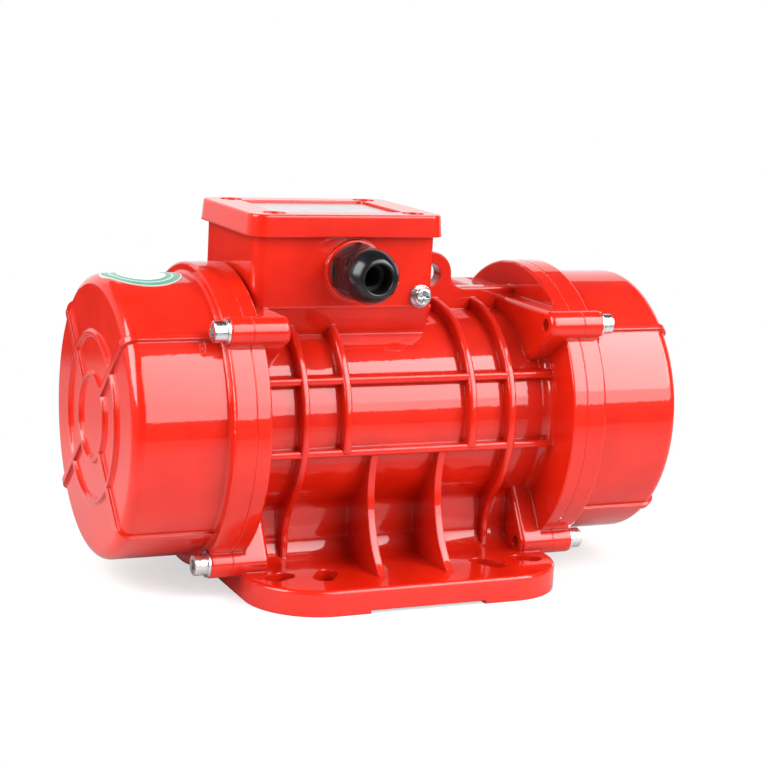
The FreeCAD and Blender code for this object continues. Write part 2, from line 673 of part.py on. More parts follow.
# ---------------------------------------------------------------- weight covers
def weight_cover():
    cup = cyl_x(JOINT_X, CUP_END_X, CUP_R)
    cup = cup.makeFillet(CUP_CORNER_R, edges_at_x(cup, CUP_END_X))
    rim = cyl_x(JOINT_X, RIM_X, FLANGE_R)
    rim = rim.makeFillet(1.2, edges_at_x(rim, RIM_X))
    root_r = 1.6
    root = cyl_x(RIM_X, RIM_X + root_r, CUP_R + root_r)
    torus = Part.makeTorus(CUP_R + root_r, root_r, V(RIM_X + root_r, 0, SHAFT_Z), V(1, 0, 0))
    solids = [cup, rim, root.cut(torus)]
    for y, z in bolt_points():
        ear = cyl_x(JOINT_X, RIM_X, BOSS_R, y, z)
        solids.append(ear.makeFillet(0.8, edges_at_x(ear, RIM_X)))
    for radius in (BEAD_RING_IN_R, BEAD_RING_OUT_R):
        ring = turned_x([(CUP_END_X - 1, radius - BEAD_W / 2), (CUP_END_X - 1, radius + BEAD_W / 2),
                         (CUP_END_X, radius + BEAD_W / 2),
                         (CUP_END_X + BEAD_H, radius + BEAD_W / 4),
                         (CUP_END_X + BEAD_H, radius - BEAD_W / 4),
                         (CUP_END_X, radius - BEAD_W / 2)])
        solids.append(ring)
    solids += cover_beads()
    body = fuse(solids)
    hollow = cyl_x(JOINT_X - 1, CUP_END_X - CUP_WALL, CUP_R - CUP_WALL)
    hollow = hollow.makeFillet(max(CUP_CORNER_R - CUP_WALL, 0.5),
                               edges_at_x(hollow, CUP_END_X - CUP_WALL))
    cuts = [hollow, cyl_x(JOINT_X - 1, JOINT_X + SEAL_DEPTH, SEAL_R + SEAL_W / 2).cut(
        cyl_x(JOINT_X - 2, JOINT_X + SEAL_DEPTH + 1, SEAL_R - SEAL_W / 2))]
    for y, z in bolt_points():
        cuts.append(cyl_x(JOINT_X - 1, RIM_X + 1, M6_FREE_R, y, z))
        cuts.append(cyl_x(RIM_X, RIM_X + BEAD_H + 3, WASHER_R + 0.3, y, z))
    return body.cut(Part.makeCompound(cuts)).removeSplitter()


def cover_beads():
    """Raised beads from the inner ring, over the corner and along the side to the rim."""
    r = CUP_CORNER_R + BEAD_H
    cx, cz = CUP_END_X - CUP_CORNER_R, SHAFT_Z + CUP_R - CUP_CORNER_R
    inner = CUP_CORNER_R - 1.5
    half = math.sqrt(0.5)
    y0 = -BEAD_W / 2

    def p(x, z):
        return V(x, y0, z)

    wire = path_wire(p(CUP_END_X + BEAD_H, SHAFT_Z + BEAD_RING_IN_R),
                     [p(CUP_END_X + BEAD_H, cz),
                      (p(cx + r * half, cz + r * half), p(cx, cz + r)),
                      p(RIM_X - 0.5, cz + r), p(RIM_X - 0.5, cz + inner), p(cx, cz + inner),
                      (p(cx + inner * half, cz + inner * half), p(cx + inner, cz)),
                      p(cx + inner, SHAFT_Z + BEAD_RING_IN_R)])
    bar = Part.Face(wire).extrude(V(0, BEAD_W, 0))
    return [spun(bar, deg) for deg in (BEAD_DEG, 180 - BEAD_DEG, 180 + BEAD_DEG, -BEAD_DEG)]


def ring_x(x0, x1, r_in, r_out, y=0.0, z=SHAFT_Z):
    return cyl_x(x0, x1, r_out, y, z).cut(cyl_x(x0 - 1, x1 + 1, r_in, y, z))


def cover_seal():
    return ring_x(JOINT_X, JOINT_X + SEAL_DEPTH, SEAL_R - SEAL_W / 2, SEAL_R + SEAL_W / 2)


def cover_screws():
    screw = cap_screw(M6_R, M6_LEN, M6_HEAD_R, M6_HEAD_H, M6_KEY_AF, M6_KEY_DEPTH)
    return group([placed(screw, V(RIM_X + WASHER_T, y, z), V(1, 0, 0)) for y, z in bolt_points()])


def cover_washers():
    return group([ring_x(RIM_X, RIM_X + WASHER_T, M6_R, WASHER_R, y, z) for y, z in bolt_points()])


# ---------------------------------------------------------------- bearing shields and bearings
def shield_screw_points():
    """Four screws, turned clear of the cover screws' lines."""
    out = []
    for deg in (0, 90, 180, 270):
        out.append((SHIELD_SCREW_PCR * math.cos(math.radians(deg)),
                    SHAFT_Z + SHIELD_SCREW_PCR * math.sin(math.radians(deg))))
    return out


def shield_seat_x():
    return JOINT_X + SHIELD_T - M5_HEAD_H


def bearing_shield():
    plate = cyl_x(JOINT_X, JOINT_X + SHIELD_T, SHIELD_R)
    plate = plate.makeFillet(1.0, edges_at_x(plate, JOINT_X + SHIELD_T))
    spigot = ring_x(JOINT_X - SPIGOT_L, JOINT_X + 1, BORE_R - SPIGOT_WALL, BORE_R)
    hub = cyl_x(BRG_X, JOINT_X + 1, HUB_R)
    body = fuse([plate, spigot, hub])
    cuts = [cyl_x(BRG_X - 1, BRG_OUT_X, BRG_OUT_R),
            cyl_x(BRG_OUT_X - 1, JOINT_X + SHIELD_T + 1, SLEEVE_R + SLEEVE_HOLE_GAP)]
    for y, z in shield_screw_points():
        cuts.append(cyl_x(JOINT_X - 1, JOINT_X + SHIELD_T + 1, M5_FREE_R, y, z))
        cuts.append(cyl_x(shield_seat_x(), JOINT_X + SHIELD_T + 1, M5_HEAD_R + 0.25, y, z))
    return body.cut(Part.makeCompound(cuts)).removeSplitter()


def shield_screws():
    screw = cap_screw(M5_R, SHIELD_SCREW_L, M5_HEAD_R, M5_HEAD_H, M5_KEY_AF, M5_KEY_DEPTH)
    return group([placed(screw, V(shield_seat_x(), y, z), V(1, 0, 0))
                  for y, z in shield_screw_points()])


def race_groove():
    mid = BRG_X + BRG_W / 2
    return Part.makeTorus(BALL_PITCH_R, BALL_R + BALL_GAP, V(mid, 0, SHAFT_Z), V(1, 0, 0))


def bearing_outer():
    return ring_x(BRG_X, BRG_OUT_X, BALL_PITCH_R + RACE_GAP, BRG_OUT_R).cut(race_groove())


def bearing_inner():
    return ring_x(BRG_X, BRG_OUT_X, BRG_BORE_R, BALL_PITCH_R - RACE_GAP).cut(race_groove())


def ball_centres():
    mid = BRG_X + BRG_W / 2
    step = 2 * math.pi / BALL_N
    return [V(mid, BALL_PITCH_R * math.sin(i * step), SHAFT_Z + BALL_PITCH_R * math.cos(i * step))
            for i in range(BALL_N)]


def bearing_balls():
    return Part.makeCompound([Part.makeSphere(BALL_R, c) for c in ball_centres()])


def bearing_cage():
    mid = BRG_X + BRG_W / 2
    ring = ring_x(mid - CAGE_W, mid + CAGE_W, BALL_PITCH_R - CAGE_T / 2, BALL_PITCH_R + CAGE_T / 2)
    ring = ring.common(cyl_x(BRG_X + 0.6, BRG_OUT_X - 0.6, BRG_OUT_R))
    return ring.cut(Part.makeCompound([Part.makeSphere(BALL_R, c) for c in ball_centres()]))


# ---------------------------------------------------------------- stator and rotor
def slot_cutters(count, build):
    cutter = build()
    return [spun(cutter, 360.0 * i / count) for i in range(count)]


def stator_slot(x0, x1, mouth):
    w, m = STATOR_SLOT_W / 2, STATOR_SLOT_MOUTH / 2
    deep = block(x0, x1, -w, w, SHAFT_Z + STATOR_SLOT_IN_R, SHAFT_Z + STATOR_SLOT_OUT_R)
    if not mouth:
        return deep
    return deep.fuse(block(x0, x1, -m, m, SHAFT_Z + STATOR_BORE_R - 1,
                           SHAFT_Z + STATOR_SLOT_IN_R + 0.5))


def stator_core():
    body = ring_x(-CORE_HALF_L, CORE_HALF_L, STATOR_BORE_R, BORE_R)
    cuts = slot_cutters(STATOR_SLOTS, lambda: stator_slot(-CORE_HALF_L - 1, CORE_HALF_L + 1, True))
    return body.cut(Part.makeCompound(cuts))


def stator_windings():
    """The coil sides in the slots and the taped end turns at both ends."""
    solids = []
    for end in ENDS:
        x0, x1 = sorted((end * CORE_HALF_L, end * (CORE_HALF_L + COIL_OVERHANG)))
        ring = ring_x(x0, x1, COIL_IN_R, COIL_OUT_R)
        far = end * (CORE_HALF_L + COIL_OVERHANG)
        solids.append(ring.makeFillet(4.0, edges_at_x(ring, far)))
    bars = slot_cutters(STATOR_SLOTS, lambda: stator_slot(-CORE_HALF_L, CORE_HALF_L, False))
    return solids[0].multiFuse(solids[1:] + bars)


def rotor_bar_points(x0, x1, r):
    bar = cyl_x(x0, x1, r, 0, SHAFT_Z + ROTOR_BAR_PCR)
    return [spun(bar, 360.0 * i / ROTOR_BARS) for i in range(ROTOR_BARS)]


def rotor_core():
    body = ring_x(-CORE_HALF_L, CORE_HALF_L, SHAFT_CORE_R, STATOR_BORE_R - AIR_GAP)
    return body.cut(Part.makeCompound(rotor_bar_points(-CORE_HALF_L - 1, CORE_HALF_L + 1,
                                                       ROTOR_BAR_R)))


def rotor_cage():
    """Cast aluminium bars with an end ring and small vanes at each end."""
    solids = []
    vane_l = 5.0
    for end in ENDS:
        x0, x1 = sorted((end * CORE_HALF_L, end * (CORE_HALF_L + END_RING_L)))
        solids.append(ring_x(x0, x1, END_RING_IN_R, END_RING_OUT_R))
        v0, v1 = sorted((end * (CORE_HALF_L + END_RING_L - 1),
                         end * (CORE_HALF_L + END_RING_L + vane_l)))
        vane = block(v0, v1, -1.2, 1.2, SHAFT_Z + END_RING_IN_R + 1.5, SHAFT_Z + END_RING_OUT_R - 1)
        solids += [spun(vane, 60.0 * i) for i in range(6)]
    return solids[0].multiFuse(solids[1:] + rotor_bar_points(-CORE_HALF_L, CORE_HALF_L,
                                                             ROTOR_BAR_R))


def circlip_x():
    return ADJ_OUT_X + FACE_GAP


def key_solid():
    return block(WEIGHT_X, WEIGHT_OUT_X, -KEY_W / 2, KEY_W / 2,
                 SHAFT_Z + SHAFT_END_R - KEY_SUNK, SHAFT_Z + SHAFT_END_R - KEY_SUNK + KEY_H)


def shaft():
    solids = [cyl_x(-SHAFT_CORE_HALF_L, SHAFT_CORE_HALF_L, SHAFT_CORE_R),
              cyl_x(-BRG_X, BRG_X, SHAFT_MID_R),
              cyl_x(-WEIGHT_X, WEIGHT_X, BRG_BORE_R)]
    ends = cyl_x(-SHAFT_END_X, SHAFT_END_X, SHAFT_END_R)
    tips = [e for e in ends.Edges if e.BoundBox.YLength > 1 and e.BoundBox.XLength < 1e-4]
    solids.append(ends.makeChamfer(1.0, tips))
    body = fuse(solids)
    cuts = []
    for end in ENDS:
        cuts.append(at_end(end, key_solid))
        g0, g1 = sorted((end * circlip_x(), end * (circlip_x() + CIRCLIP_T)))
        cuts.append(ring_x(g0, g1, SHAFT_END_R - CIRCLIP_GROOVE_D, SHAFT_END_R + 2))
    return body.cut(Part.makeCompound(cuts))


# ---------------------------------------------------------------- eccentric weights
def weight_blank(x0, x1, bore_r):
    """Sector of a disc that hangs below the shaft, with a round hub."""
    half = math.radians(WEIGHT_DEG / 2)
    hub_dir = V(0, math.sin(half), -math.cos(half))
    a = V(x0, 0, SHAFT_Z) + hub_dir * WEIGHT_R
    b = V(x0, -a.y, a.z)
    wire = path_wire(V(x0, 0, SHAFT_Z), [a, (V(x0, 0, SHAFT_Z - WEIGHT_R), b)])
    sector = Part.Face(wire).extrude(V(x1 - x0, 0, 0))
    body = fuse([sector, cyl_x(x0, x1, WEIGHT_HUB_R)])
    return body.cut(cyl_x(x0 - 1, x1 + 1, bore_r))


def fixed_weight():
    body = weight_blank(WEIGHT_X, WEIGHT_OUT_X, SHAFT_END_R)
    mid = (WEIGHT_X + WEIGHT_OUT_X) / 2
    screw_y = SHAFT_END_R
    tapped = cyl_y(screw_y, WEIGHT_HUB_R + 1, M5_R, mid, SHAFT_Z)
    return body.cut(key_solid()).cut(tapped)


def set_screw():
    mid = (WEIGHT_X + WEIGHT_OUT_X) / 2
    body = cyl_y(SHAFT_END_R, WEIGHT_HUB_R - 1.0, M5_R, mid, SHAFT_Z)
    key = hexagon(2.5, 3.0, V(mid, WEIGHT_HUB_R - 4.0, SHAFT_Z), V(0, 1, 0))
    return body.cut(key)


def adjustable_weight():
    body = weight_blank(ADJ_X, ADJ_OUT_X, SHAFT_END_R + RUN_CLEAR)
    ears = block(ADJ_X, ADJ_OUT_X, -CLAMP_EAR_Y, CLAMP_EAR_Y, SHAFT_Z + SHAFT_END_R + 2,
                 SHAFT_Z + CLAMP_EAR_Z)
    ears = ears.makeFillet(2.0, edges_at_z(ears, SHAFT_Z + CLAMP_EAR_Z))
    body = fuse([body, ears])
    slit = block(ADJ_X - 1, ADJ_OUT_X + 1, -CLAMP_SLIT / 2, CLAMP_SLIT / 2,
                 SHAFT_Z, SHAFT_Z + CLAMP_EAR_Z + 1)
    mid, z = (ADJ_X + ADJ_OUT_X) / 2, SHAFT_Z + CLAMP_SCREW_Z
    free = cyl_y(-CLAMP_EAR_Y - 1, 0, M5_FREE_R, mid, z)
    tapped = cyl_y(0, CLAMP_EAR_Y + 1, M5_R, mid, z)
    return body.cut(Part.makeCompound([slit, free, tapped, cyl_x(ADJ_X - 1, ADJ_OUT_X + 1,
                                                                 SHAFT_END_R + RUN_CLEAR)]))


def clamp_screw():
    mid = (ADJ_X + ADJ_OUT_X) / 2
    screw = cap_screw(M5_R, 2 * CLAMP_EAR_Y - 1.0, M5_HEAD_R, M5_HEAD_H, M5_KEY_AF, M5_KEY_DEPTH)
    return placed(screw, V(mid, -CLAMP_EAR_Y, SHAFT_Z + CLAMP_SCREW_Z), V(0, -1, 0))


def shaft_sleeve():
    """Spacer from the bearing's inner ring to the fixed weight."""
    sleeve = ring_x(BRG_OUT_X, WEIGHT_X, BRG_BORE_R, SLEEVE_R)
    return sleeve


def weight_spacer():
    return ring_x(WEIGHT_OUT_X, ADJ_X - FACE_GAP, SHAFT_END_R, SPACER_R)


def circlip():
    body = ring_x(circlip_x(), circlip_x() + CIRCLIP_T, SHAFT_END_R - CIRCLIP_GROOVE_D, CIRCLIP_R)
    gap = block(circlip_x() - 1, circlip_x() + 2 * CIRCLIP_T + 1, -3.0, 3.0,
                SHAFT_Z, SHAFT_Z + CIRCLIP_R + 1)
    return body.cut(gap)


# ---------------------------------------------------------------- terminal box pieces
def lid_seat_z():
    return LID_TOP_Z - LID_SINK_DEPTH


def terminal_lid():
    x0, x1 = BOX_LEFT_X - LID_OVERHANG, BOX_RIGHT_X + LID_OVERHANG
    half_y = BOX_HALF_Y + LID_OVERHANG
    body = tapered_block(x0, x1, -half_y, half_y, LID_BOTTOM_Z, LID_TOP_Z, LID_CORNER_R,
                         LID_DRAFT)
    body = body.makeFillet(LID_EDGE_R, edges_at_z(body, LID_TOP_Z))
    under = round_block(BOX_LEFT_X - LID_FIT, BOX_RIGHT_X + LID_FIT, -BOX_HALF_Y - LID_FIT,
                        BOX_HALF_Y + LID_FIT, LID_BOTTOM_Z - 1, BOX_TOP_Z + GASKET_T,
                        BOX_CORNER_R + LID_FIT)
    recess = round_block(BOX_MID_X - PLATE_HALF_X, BOX_MID_X + PLATE_HALF_X, -PLATE_HALF_Y,
                         PLATE_HALF_Y, LID_TOP_Z - PLATE_DEPTH, LID_TOP_Z + 1, PLATE_CORNER_R)
    cuts = [under, recess]
    for x, y in lid_points():
        cuts.append(cyl_z(LID_BOTTOM_Z, LID_TOP_Z + 1, M5_FREE_R, x, y))
        cuts.append(cyl_z(lid_seat_z(), LID_TOP_Z + 1, LID_SINK_R, x, y))
    return body.cut(Part.makeCompound(cuts))


def lid_gasket():
    z0, z1 = BOX_TOP_Z, BOX_TOP_Z + GASKET_T
    body = round_block(BOX_LEFT_X, BOX_RIGHT_X, -BOX_HALF_Y, BOX_HALF_Y, z0, z1, BOX_CORNER_R)
    inner = round_block(BOX_LEFT_X + BOX_WALL, BOX_RIGHT_X - BOX_WALL, -BOX_HALF_Y + BOX_WALL,
                        BOX_HALF_Y - BOX_WALL, z0 - 1, z1 + 1, max(BOX_CORNER_R - BOX_WALL, 0.8))
    for x, y in lid_points():
        inner = inner.cut(cyl_z(z0 - 1, z1 + 1, POST_R, x, y))
    body = body.cut(inner)
    holes = [cyl_z(z0 - 1, z1 + 1, M5_R, x, y) for x, y in lid_points()]
    return body.cut(Part.makeCompound(holes))


def lid_screws():
    out = []
    for x, y in lid_points():
        head = cyl_z(0, LID_HEAD_H, LID_HEAD_R, 0, 0)
        head = head.makeFillet(0.8, edges_at_z(head, LID_HEAD_H))
        shank = cyl_z(-LID_SCREW_L, 0, M5_R, 0, 0)
        cross = [block(-2.6, 2.6, -0.5, 0.5, LID_HEAD_H - 1.6, LID_HEAD_H + 1),
                 block(-0.5, 0.5, -2.6, 2.6, LID_HEAD_H - 1.6, LID_HEAD_H + 1)]
        screw = head.fuse(shank).cut(Part.makeCompound(cross))
        out.append(placed(screw, V(x, y, lid_seat_z()), V(0, 0, 1)))
    return out


def nameplate():
    z0 = LID_TOP_Z - PLATE_DEPTH
    return round_block(BOX_MID_X - PLATE_HALF_X + PLATE_MARGIN, BOX_MID_X + PLATE_HALF_X - PLATE_MARGIN,
                       -PLATE_HALF_Y + PLATE_MARGIN, PLATE_HALF_Y - PLATE_MARGIN,
                       z0, z0 + PLATE_T, max(PLATE_CORNER_R - PLATE_MARGIN, 0.5))


def block_screw_points():
    return [(BLOCK_X, side * (BLOCK_HALF_Y - BLOCK_SCREW_IN)) for side in ENDS]


def stud_points():
    return [(BLOCK_X, i * STUD_PITCH) for i in (-1, 0, 1)]


def terminal_block():
    body = block(BLOCK_X - BLOCK_HALF_X, BLOCK_X + BLOCK_HALF_X, -BLOCK_HALF_Y, BLOCK_HALF_Y,
                 BOX_FLOOR_Z, BOX_FLOOR_Z + BLOCK_H)
    cuts = []
    top = BOX_FLOOR_Z + BLOCK_H
    for i in (-0.5, 0.5):
        y = i * STUD_PITCH
        cuts.append(block(BLOCK_X - BLOCK_HALF_X - 1, BLOCK_X + BLOCK_HALF_X + 1, y - 0.8, y + 0.8,
                          top - 3.0, top + 1))
    for x, y in block_screw_points():
        cuts.append(cyl_z(BOX_FLOOR_Z - 1, top + 1, BLOCK_SCREW_R, x, y))
        cuts.append(cyl_z(top - BLOCK_SCREW_HEAD_H, top + 1, BLOCK_SCREW_HEAD_R + 0.2, x, y))
    for x, y in stud_points():
        cuts.append(cyl_z(BOX_FLOOR_Z + 3, top + 1, STUD_R, x, y))
    return body.cut(Part.makeCompound(cuts))


def terminal_block_screws():
    out = []
    for x, y in block_screw_points():
        top = BOX_FLOOR_Z + BLOCK_H
        head = cyl_z(top - BLOCK_SCREW_HEAD_H, top, BLOCK_SCREW_HEAD_R, x, y)
        shank = cyl_z(top - BLOCK_SCREW_HEAD_H - BLOCK_SCREW_L, top - BLOCK_SCREW_HEAD_H,
                      BLOCK_SCREW_R, x, y)
        slot = block(x - 4, x + 4, y - 0.4, y + 0.4, top - 1.0, top + 1)
        out.append(head.fuse(shank).cut(slot))
    return out


def terminal_studs():
    return [cyl_z(BOX_FLOOR_Z + 3, BOX_FLOOR_Z + BLOCK_H + STUD_TALL, STUD_R, x, y)
            for x, y in stud_points()]


def terminal_nuts():
    top = BOX_FLOOR_Z + BLOCK_H
    out = []
    for x, y in stud_points():
        for z in (top, top + NUT_T):
            nut = hexagon(NUT_AF, NUT_T, V(x, y, z), V(0, 0, 1))
            out.append(nut.cut(cyl_z(z - 1, z + NUT_T + 1, STUD_R, x, y)))
    return out


# ---------------------------------------------------------------- cable gland and earth screw
GLAND_FACE_Y = -BOX_HALF_Y - GLAND_PAD_T


def gland_y(depth):
    """Y of a point that stands depth out from the gland's seat."""
    return GLAND_FACE_Y - depth


def gland_body():
    hex_out = GLAND_SEAL_T + GLAND_HEX_T
    thread = cyl_y(gland_y(0), -BOX_HALF_Y + BOX_WALL + LOCKNUT_T + 1.5, GLAND_THREAD_R,
                   GLAND_X, GLAND_Z)
    stem = cyl_y(gland_y(GLAND_SEAL_T), gland_y(0), GLAND_THREAD_R, GLAND_X, GLAND_Z)
    hexa = hexagon(GLAND_HEX_AF, GLAND_HEX_T, V(GLAND_X, gland_y(GLAND_SEAL_T), GLAND_Z),
                   V(0, -1, 0), 30)
    neck = cyl_y(gland_y(hex_out + GLAND_NECK_L), gland_y(hex_out), GLAND_NECK_R,
                 GLAND_X, GLAND_Z)
    body = fuse([thread, stem, hexa, neck])
    bore = cyl_y(gland_y(hex_out + GLAND_NECK_L + 1), 0, GLAND_BORE_R, GLAND_X, GLAND_Z)
    cup = cyl_y(gland_y(hex_out + GLAND_NECK_L + 1), gland_y(hex_out), GLAND_NECK_R - 1.4,
                GLAND_X, GLAND_Z)
    return body.cut(Part.makeCompound([bore, cup]))


def gland_seal():
    y0, y1 = gland_y(GLAND_SEAL_T), gland_y(0)
    return cyl_y(y0, y1, GLAND_SEAL_R, GLAND_X, GLAND_Z).cut(
        cyl_y(y0 - 1, y1 + 1, GLAND_THREAD_R, GLAND_X, GLAND_Z))


def gland_insert():
    """Rubber bush that grips the cable, inside the neck."""
    hex_out = GLAND_SEAL_T + GLAND_HEX_T
    y0, y1 = gland_y(hex_out + GLAND_NECK_L), gland_y(hex_out)
    return cyl_y(y0, y1, GLAND_NECK_R - 1.4, GLAND_X, GLAND_Z).cut(
        cyl_y(y0 - 1, y1 + 1, GLAND_BORE_R, GLAND_X, GLAND_Z))


def gland_cap():
    """Cap nut: a hexagonal grip, a groove, then a round dome with a rolled lip."""
    hex_out = GLAND_SEAL_T + GLAND_HEX_T
    back = gland_y(hex_out + 0.3)
    neck_end = GLAND_NECK_L - 0.3
    front, start = GLAND_CAP_L, GLAND_CAP_L - GLAND_DOME_L
    lip = GLAND_CAP_MOUTH_R + (GLAND_LIP_R - GLAND_CAP_MOUTH_R) * (1 - math.sqrt(0.5))
    roll = GLAND_LIP_R - GLAND_CAP_MOUTH_R

    def p(depth, r):
        return V(GLAND_X, back - depth, GLAND_Z + r)

    def bow(a, b, rise):
        """Arc from a to b that bulges outward by rise at its middle."""
        run = math.hypot(b[0] - a[0], b[1] - a[1])
        mid = ((a[0] + b[0]) / 2 - (b[1] - a[1]) / run * rise,
               (a[1] + b[1]) / 2 + (b[0] - a[0]) / run * rise)
        return (p(*mid), p(*b))

    dome, brow = (start, GLAND_CAP_R), (front - 0.7, GLAND_LIP_R + 1.5)
    wire = path_wire(p(0, GLAND_NECK_R),
                     [p(0, GLAND_GRIP_R), p(GLAND_GRIP_L, GLAND_GRIP_R),
                      p(GLAND_GRIP_L + 0.5, GLAND_CAP_R - 0.7), p(GLAND_GRIP_L + 1.1, GLAND_CAP_R),
                      p(*dome), bow(dome, brow, 1.0), bow(brow, (front, GLAND_LIP_R), 0.12),
                      (p(front - roll * (1 - math.sqrt(0.5)), lip), p(front - roll, GLAND_CAP_MOUTH_R)),
                      p(neck_end, GLAND_CAP_MOUTH_R), p(neck_end, GLAND_NECK_R)])
    body = Part.Face(wire).revolve(V(GLAND_X, 0, GLAND_Z), V(0, 1, 0), 360)
    grip = hexagon(GLAND_HEX_AF, GLAND_GRIP_L + 0.3, V(GLAND_X, back - GLAND_GRIP_L - 0.2, GLAND_Z),
                   V(0, 1, 0), 30)
    round_part = cyl_y(back - GLAND_CAP_L - 1, back - GLAND_GRIP_L - 0.2, GLAND_CAP_R + 1,
                       GLAND_X, GLAND_Z)
    return body.common(grip.fuse(round_part)).removeSplitter()


def gland_locknut():
    y0 = -BOX_HALF_Y + BOX_WALL
    nut = hexagon(LOCKNUT_AF, LOCKNUT_T, V(GLAND_X, y0, GLAND_Z), V(0, 1, 0))
    return nut.cut(cyl_y(y0 - 1, y0 + LOCKNUT_T + 1, GLAND_THREAD_R, GLAND_X, GLAND_Z))


def earth_washer():
    y1 = -BOX_HALF_Y
    disc = cyl_y(y1 - EARTH_WASHER_T, y1, EARTH_WASHER_R, EARTH_X, EARTH_Z)
    return disc.cut(cyl_y(y1 - 2, y1 + 1, EARTH_R, EARTH_X, EARTH_Z))


def earth_screw():
    seat = -BOX_HALF_Y - EARTH_WASHER_T
    head = cyl_y(seat - EARTH_HEAD_H, seat, EARTH_HEAD_R, EARTH_X, EARTH_Z)
    rim = [e for e in head.Edges if abs(e.BoundBox.YMax - (seat - EARTH_HEAD_H)) < 1e-4]
    head = head.makeFillet(1.2, rim)
    shank = cyl_y(seat, seat + EARTH_LEN, EARTH_R, EARTH_X, EARTH_Z)
    y0, y1 = seat - EARTH_HEAD_H - 1, seat - EARTH_HEAD_H + 1.8
    cross = [block(EARTH_X - 2.7, EARTH_X + 2.7, y0, y1, EARTH_Z - 0.55, EARTH_Z + 0.55),
             block(EARTH_X - 0.55, EARTH_X + 0.55, y0, y1, EARTH_Z - 2.7, EARTH_Z + 2.7)]
    return head.fuse(shank).cut(Part.makeCompound(cross))


def cup_skin(offset):
    """The left cup's outside, grown by offset, from its rim to its end face."""
    skin = cyl_x(-CUP_END_X - offset, -RIM_X, CUP_R + offset)
    return skin.makeFillet(CUP_CORNER_R + offset, edges_at_x(skin, -CUP_END_X - offset))


def round_label():
    """Thin round label on the top of the left cover, bent over the cup's corner."""
    disc = cyl_z(SHAFT_Z + CUP_R / 2, SHAFT_Z + CUP_R + LABEL_R, LABEL_R, LABEL_X, 0)
    return cup_skin(LABEL_T).cut(cup_skin(0)).common(disc)


# ---------------------------------------------------------------- all pieces
def group(shapes):
    return Part.makeCompound(shapes)


def both_ends(build):
    return group([at_end(end, build) for end in ENDS])


def pieces():
    yield "motor_housing", motor_housing()
    yield "weight_cover_left", at_end(-1, weight_cover)
    yield "weight_cover_right", at_end(1, weight_cover)
    yield "cover_seals", both_ends(cover_seal)
    yield "cover_screws", both_ends(cover_screws)
    yield "cover_washers", both_ends(cover_washers)
    yield "bearing_shield_left", at_end(-1, bearing_shield)
    yield "bearing_shield_right", at_end(1, bearing_shield)
    yield "shield_screws", both_ends(shield_screws)
    yield "bearing_outer_rings", both_ends(bearing_outer)
    yield "bearing_inner_rings", both_ends(bearing_inner)
    yield "bearing_balls_left", at_end(-1, bearing_balls)
    yield "bearing_balls_right", at_end(1, bearing_balls)
    yield "bearing_cage_left", at_end(-1, bearing_cage)
    yield "bearing_cage_right", at_end(1, bearing_cage)
    yield "stator_core", stator_core()
    yield "stator_windings", stator_windings()
    yield "rotor_core", rotor_core()
    yield "rotor_cage", rotor_cage()
    yield "shaft", shaft()
    yield "weight_keys", both_ends(key_solid)
    yield "shaft_sleeves", both_ends(shaft_sleeve)
    yield "fixed_weight_left", at_end(-1, fixed_weight)
    yield "fixed_weight_right", at_end(1, fixed_weight)
    yield "weight_set_screws", both_ends(set_screw)
    yield "weight_spacers", both_ends(weight_spacer)
    yield "adjustable_weight_left", at_end(-1, adjustable_weight)
    yield "adjustable_weight_right", at_end(1, adjustable_weight)
    yield "clamp_screw_left", at_end(-1, clamp_screw)
    yield "clamp_screw_right", at_end(1, clamp_screw)
    yield "shaft_circlips", both_ends(circlip)
    yield "terminal_lid", terminal_lid()
    yield "lid_gasket", lid_gasket()
    yield "lid_screws", group(lid_screws())
    yield "nameplate", nameplate()
    yield "terminal_block", terminal_block()
    yield "terminal_block_screws", group(terminal_block_screws())
    yield "terminal_studs", group(terminal_studs())
    yield "terminal_nuts", group(terminal_nuts())
    yield "gland_body", gland_body()
    yield "gland_seal", gland_seal()
    yield "gland_insert", gland_insert()
    yield "gland_cap", gland_cap()
    yield "gland_locknut", gland_locknut()
    yield "earth_washer", earth_washer()
    yield "earth_screw", earth_screw()
    yield "round_label", round_label()


os.makedirs("parts", exist_ok=True)
for name, shape in pieces():
    box = shape.BoundBox
    state = "ok" if shape.isValid() and shape.Volume > 0 else "BAD"
    print(f"{name:24s} {state} {len(shape.Solids):3d} solids {shape.Volume / 1000:9.2f} cm3  "
          f"X {box.XMin:7.2f} {box.XMax:7.2f}  Y {box.YMin:7.2f} {box.YMax:7.2f}  "
          f"Z {box.ZMin:7.2f} {box.ZMax:7.2f}")
    shape.exportStep(os.path.join("parts", name + ".step"))
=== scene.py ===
# %% [markdown]
# # A foot-mounted vibration motor
#
# The motor is a red enamelled aluminium casting that shakes whatever it is bolted to. Its shaft carries
# a pair of half-round iron weights at each end, and a round cover hides each pair. On top sits a small
# terminal box with a black nylon cable gland.
#
# Every form of the motor, down to the hexagon in a screw's head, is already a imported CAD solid. It could be
# modelled once more here, but then two models would have to agree, so this lesson only dresses the solids.
# It adds finishes that come from shader nodes alone, and a studio with lamps, a table, a room and a
# camera, because gloss shows what stands around it.

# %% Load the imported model
import json
import math

import bpy
from mathutils import Matrix, Vector


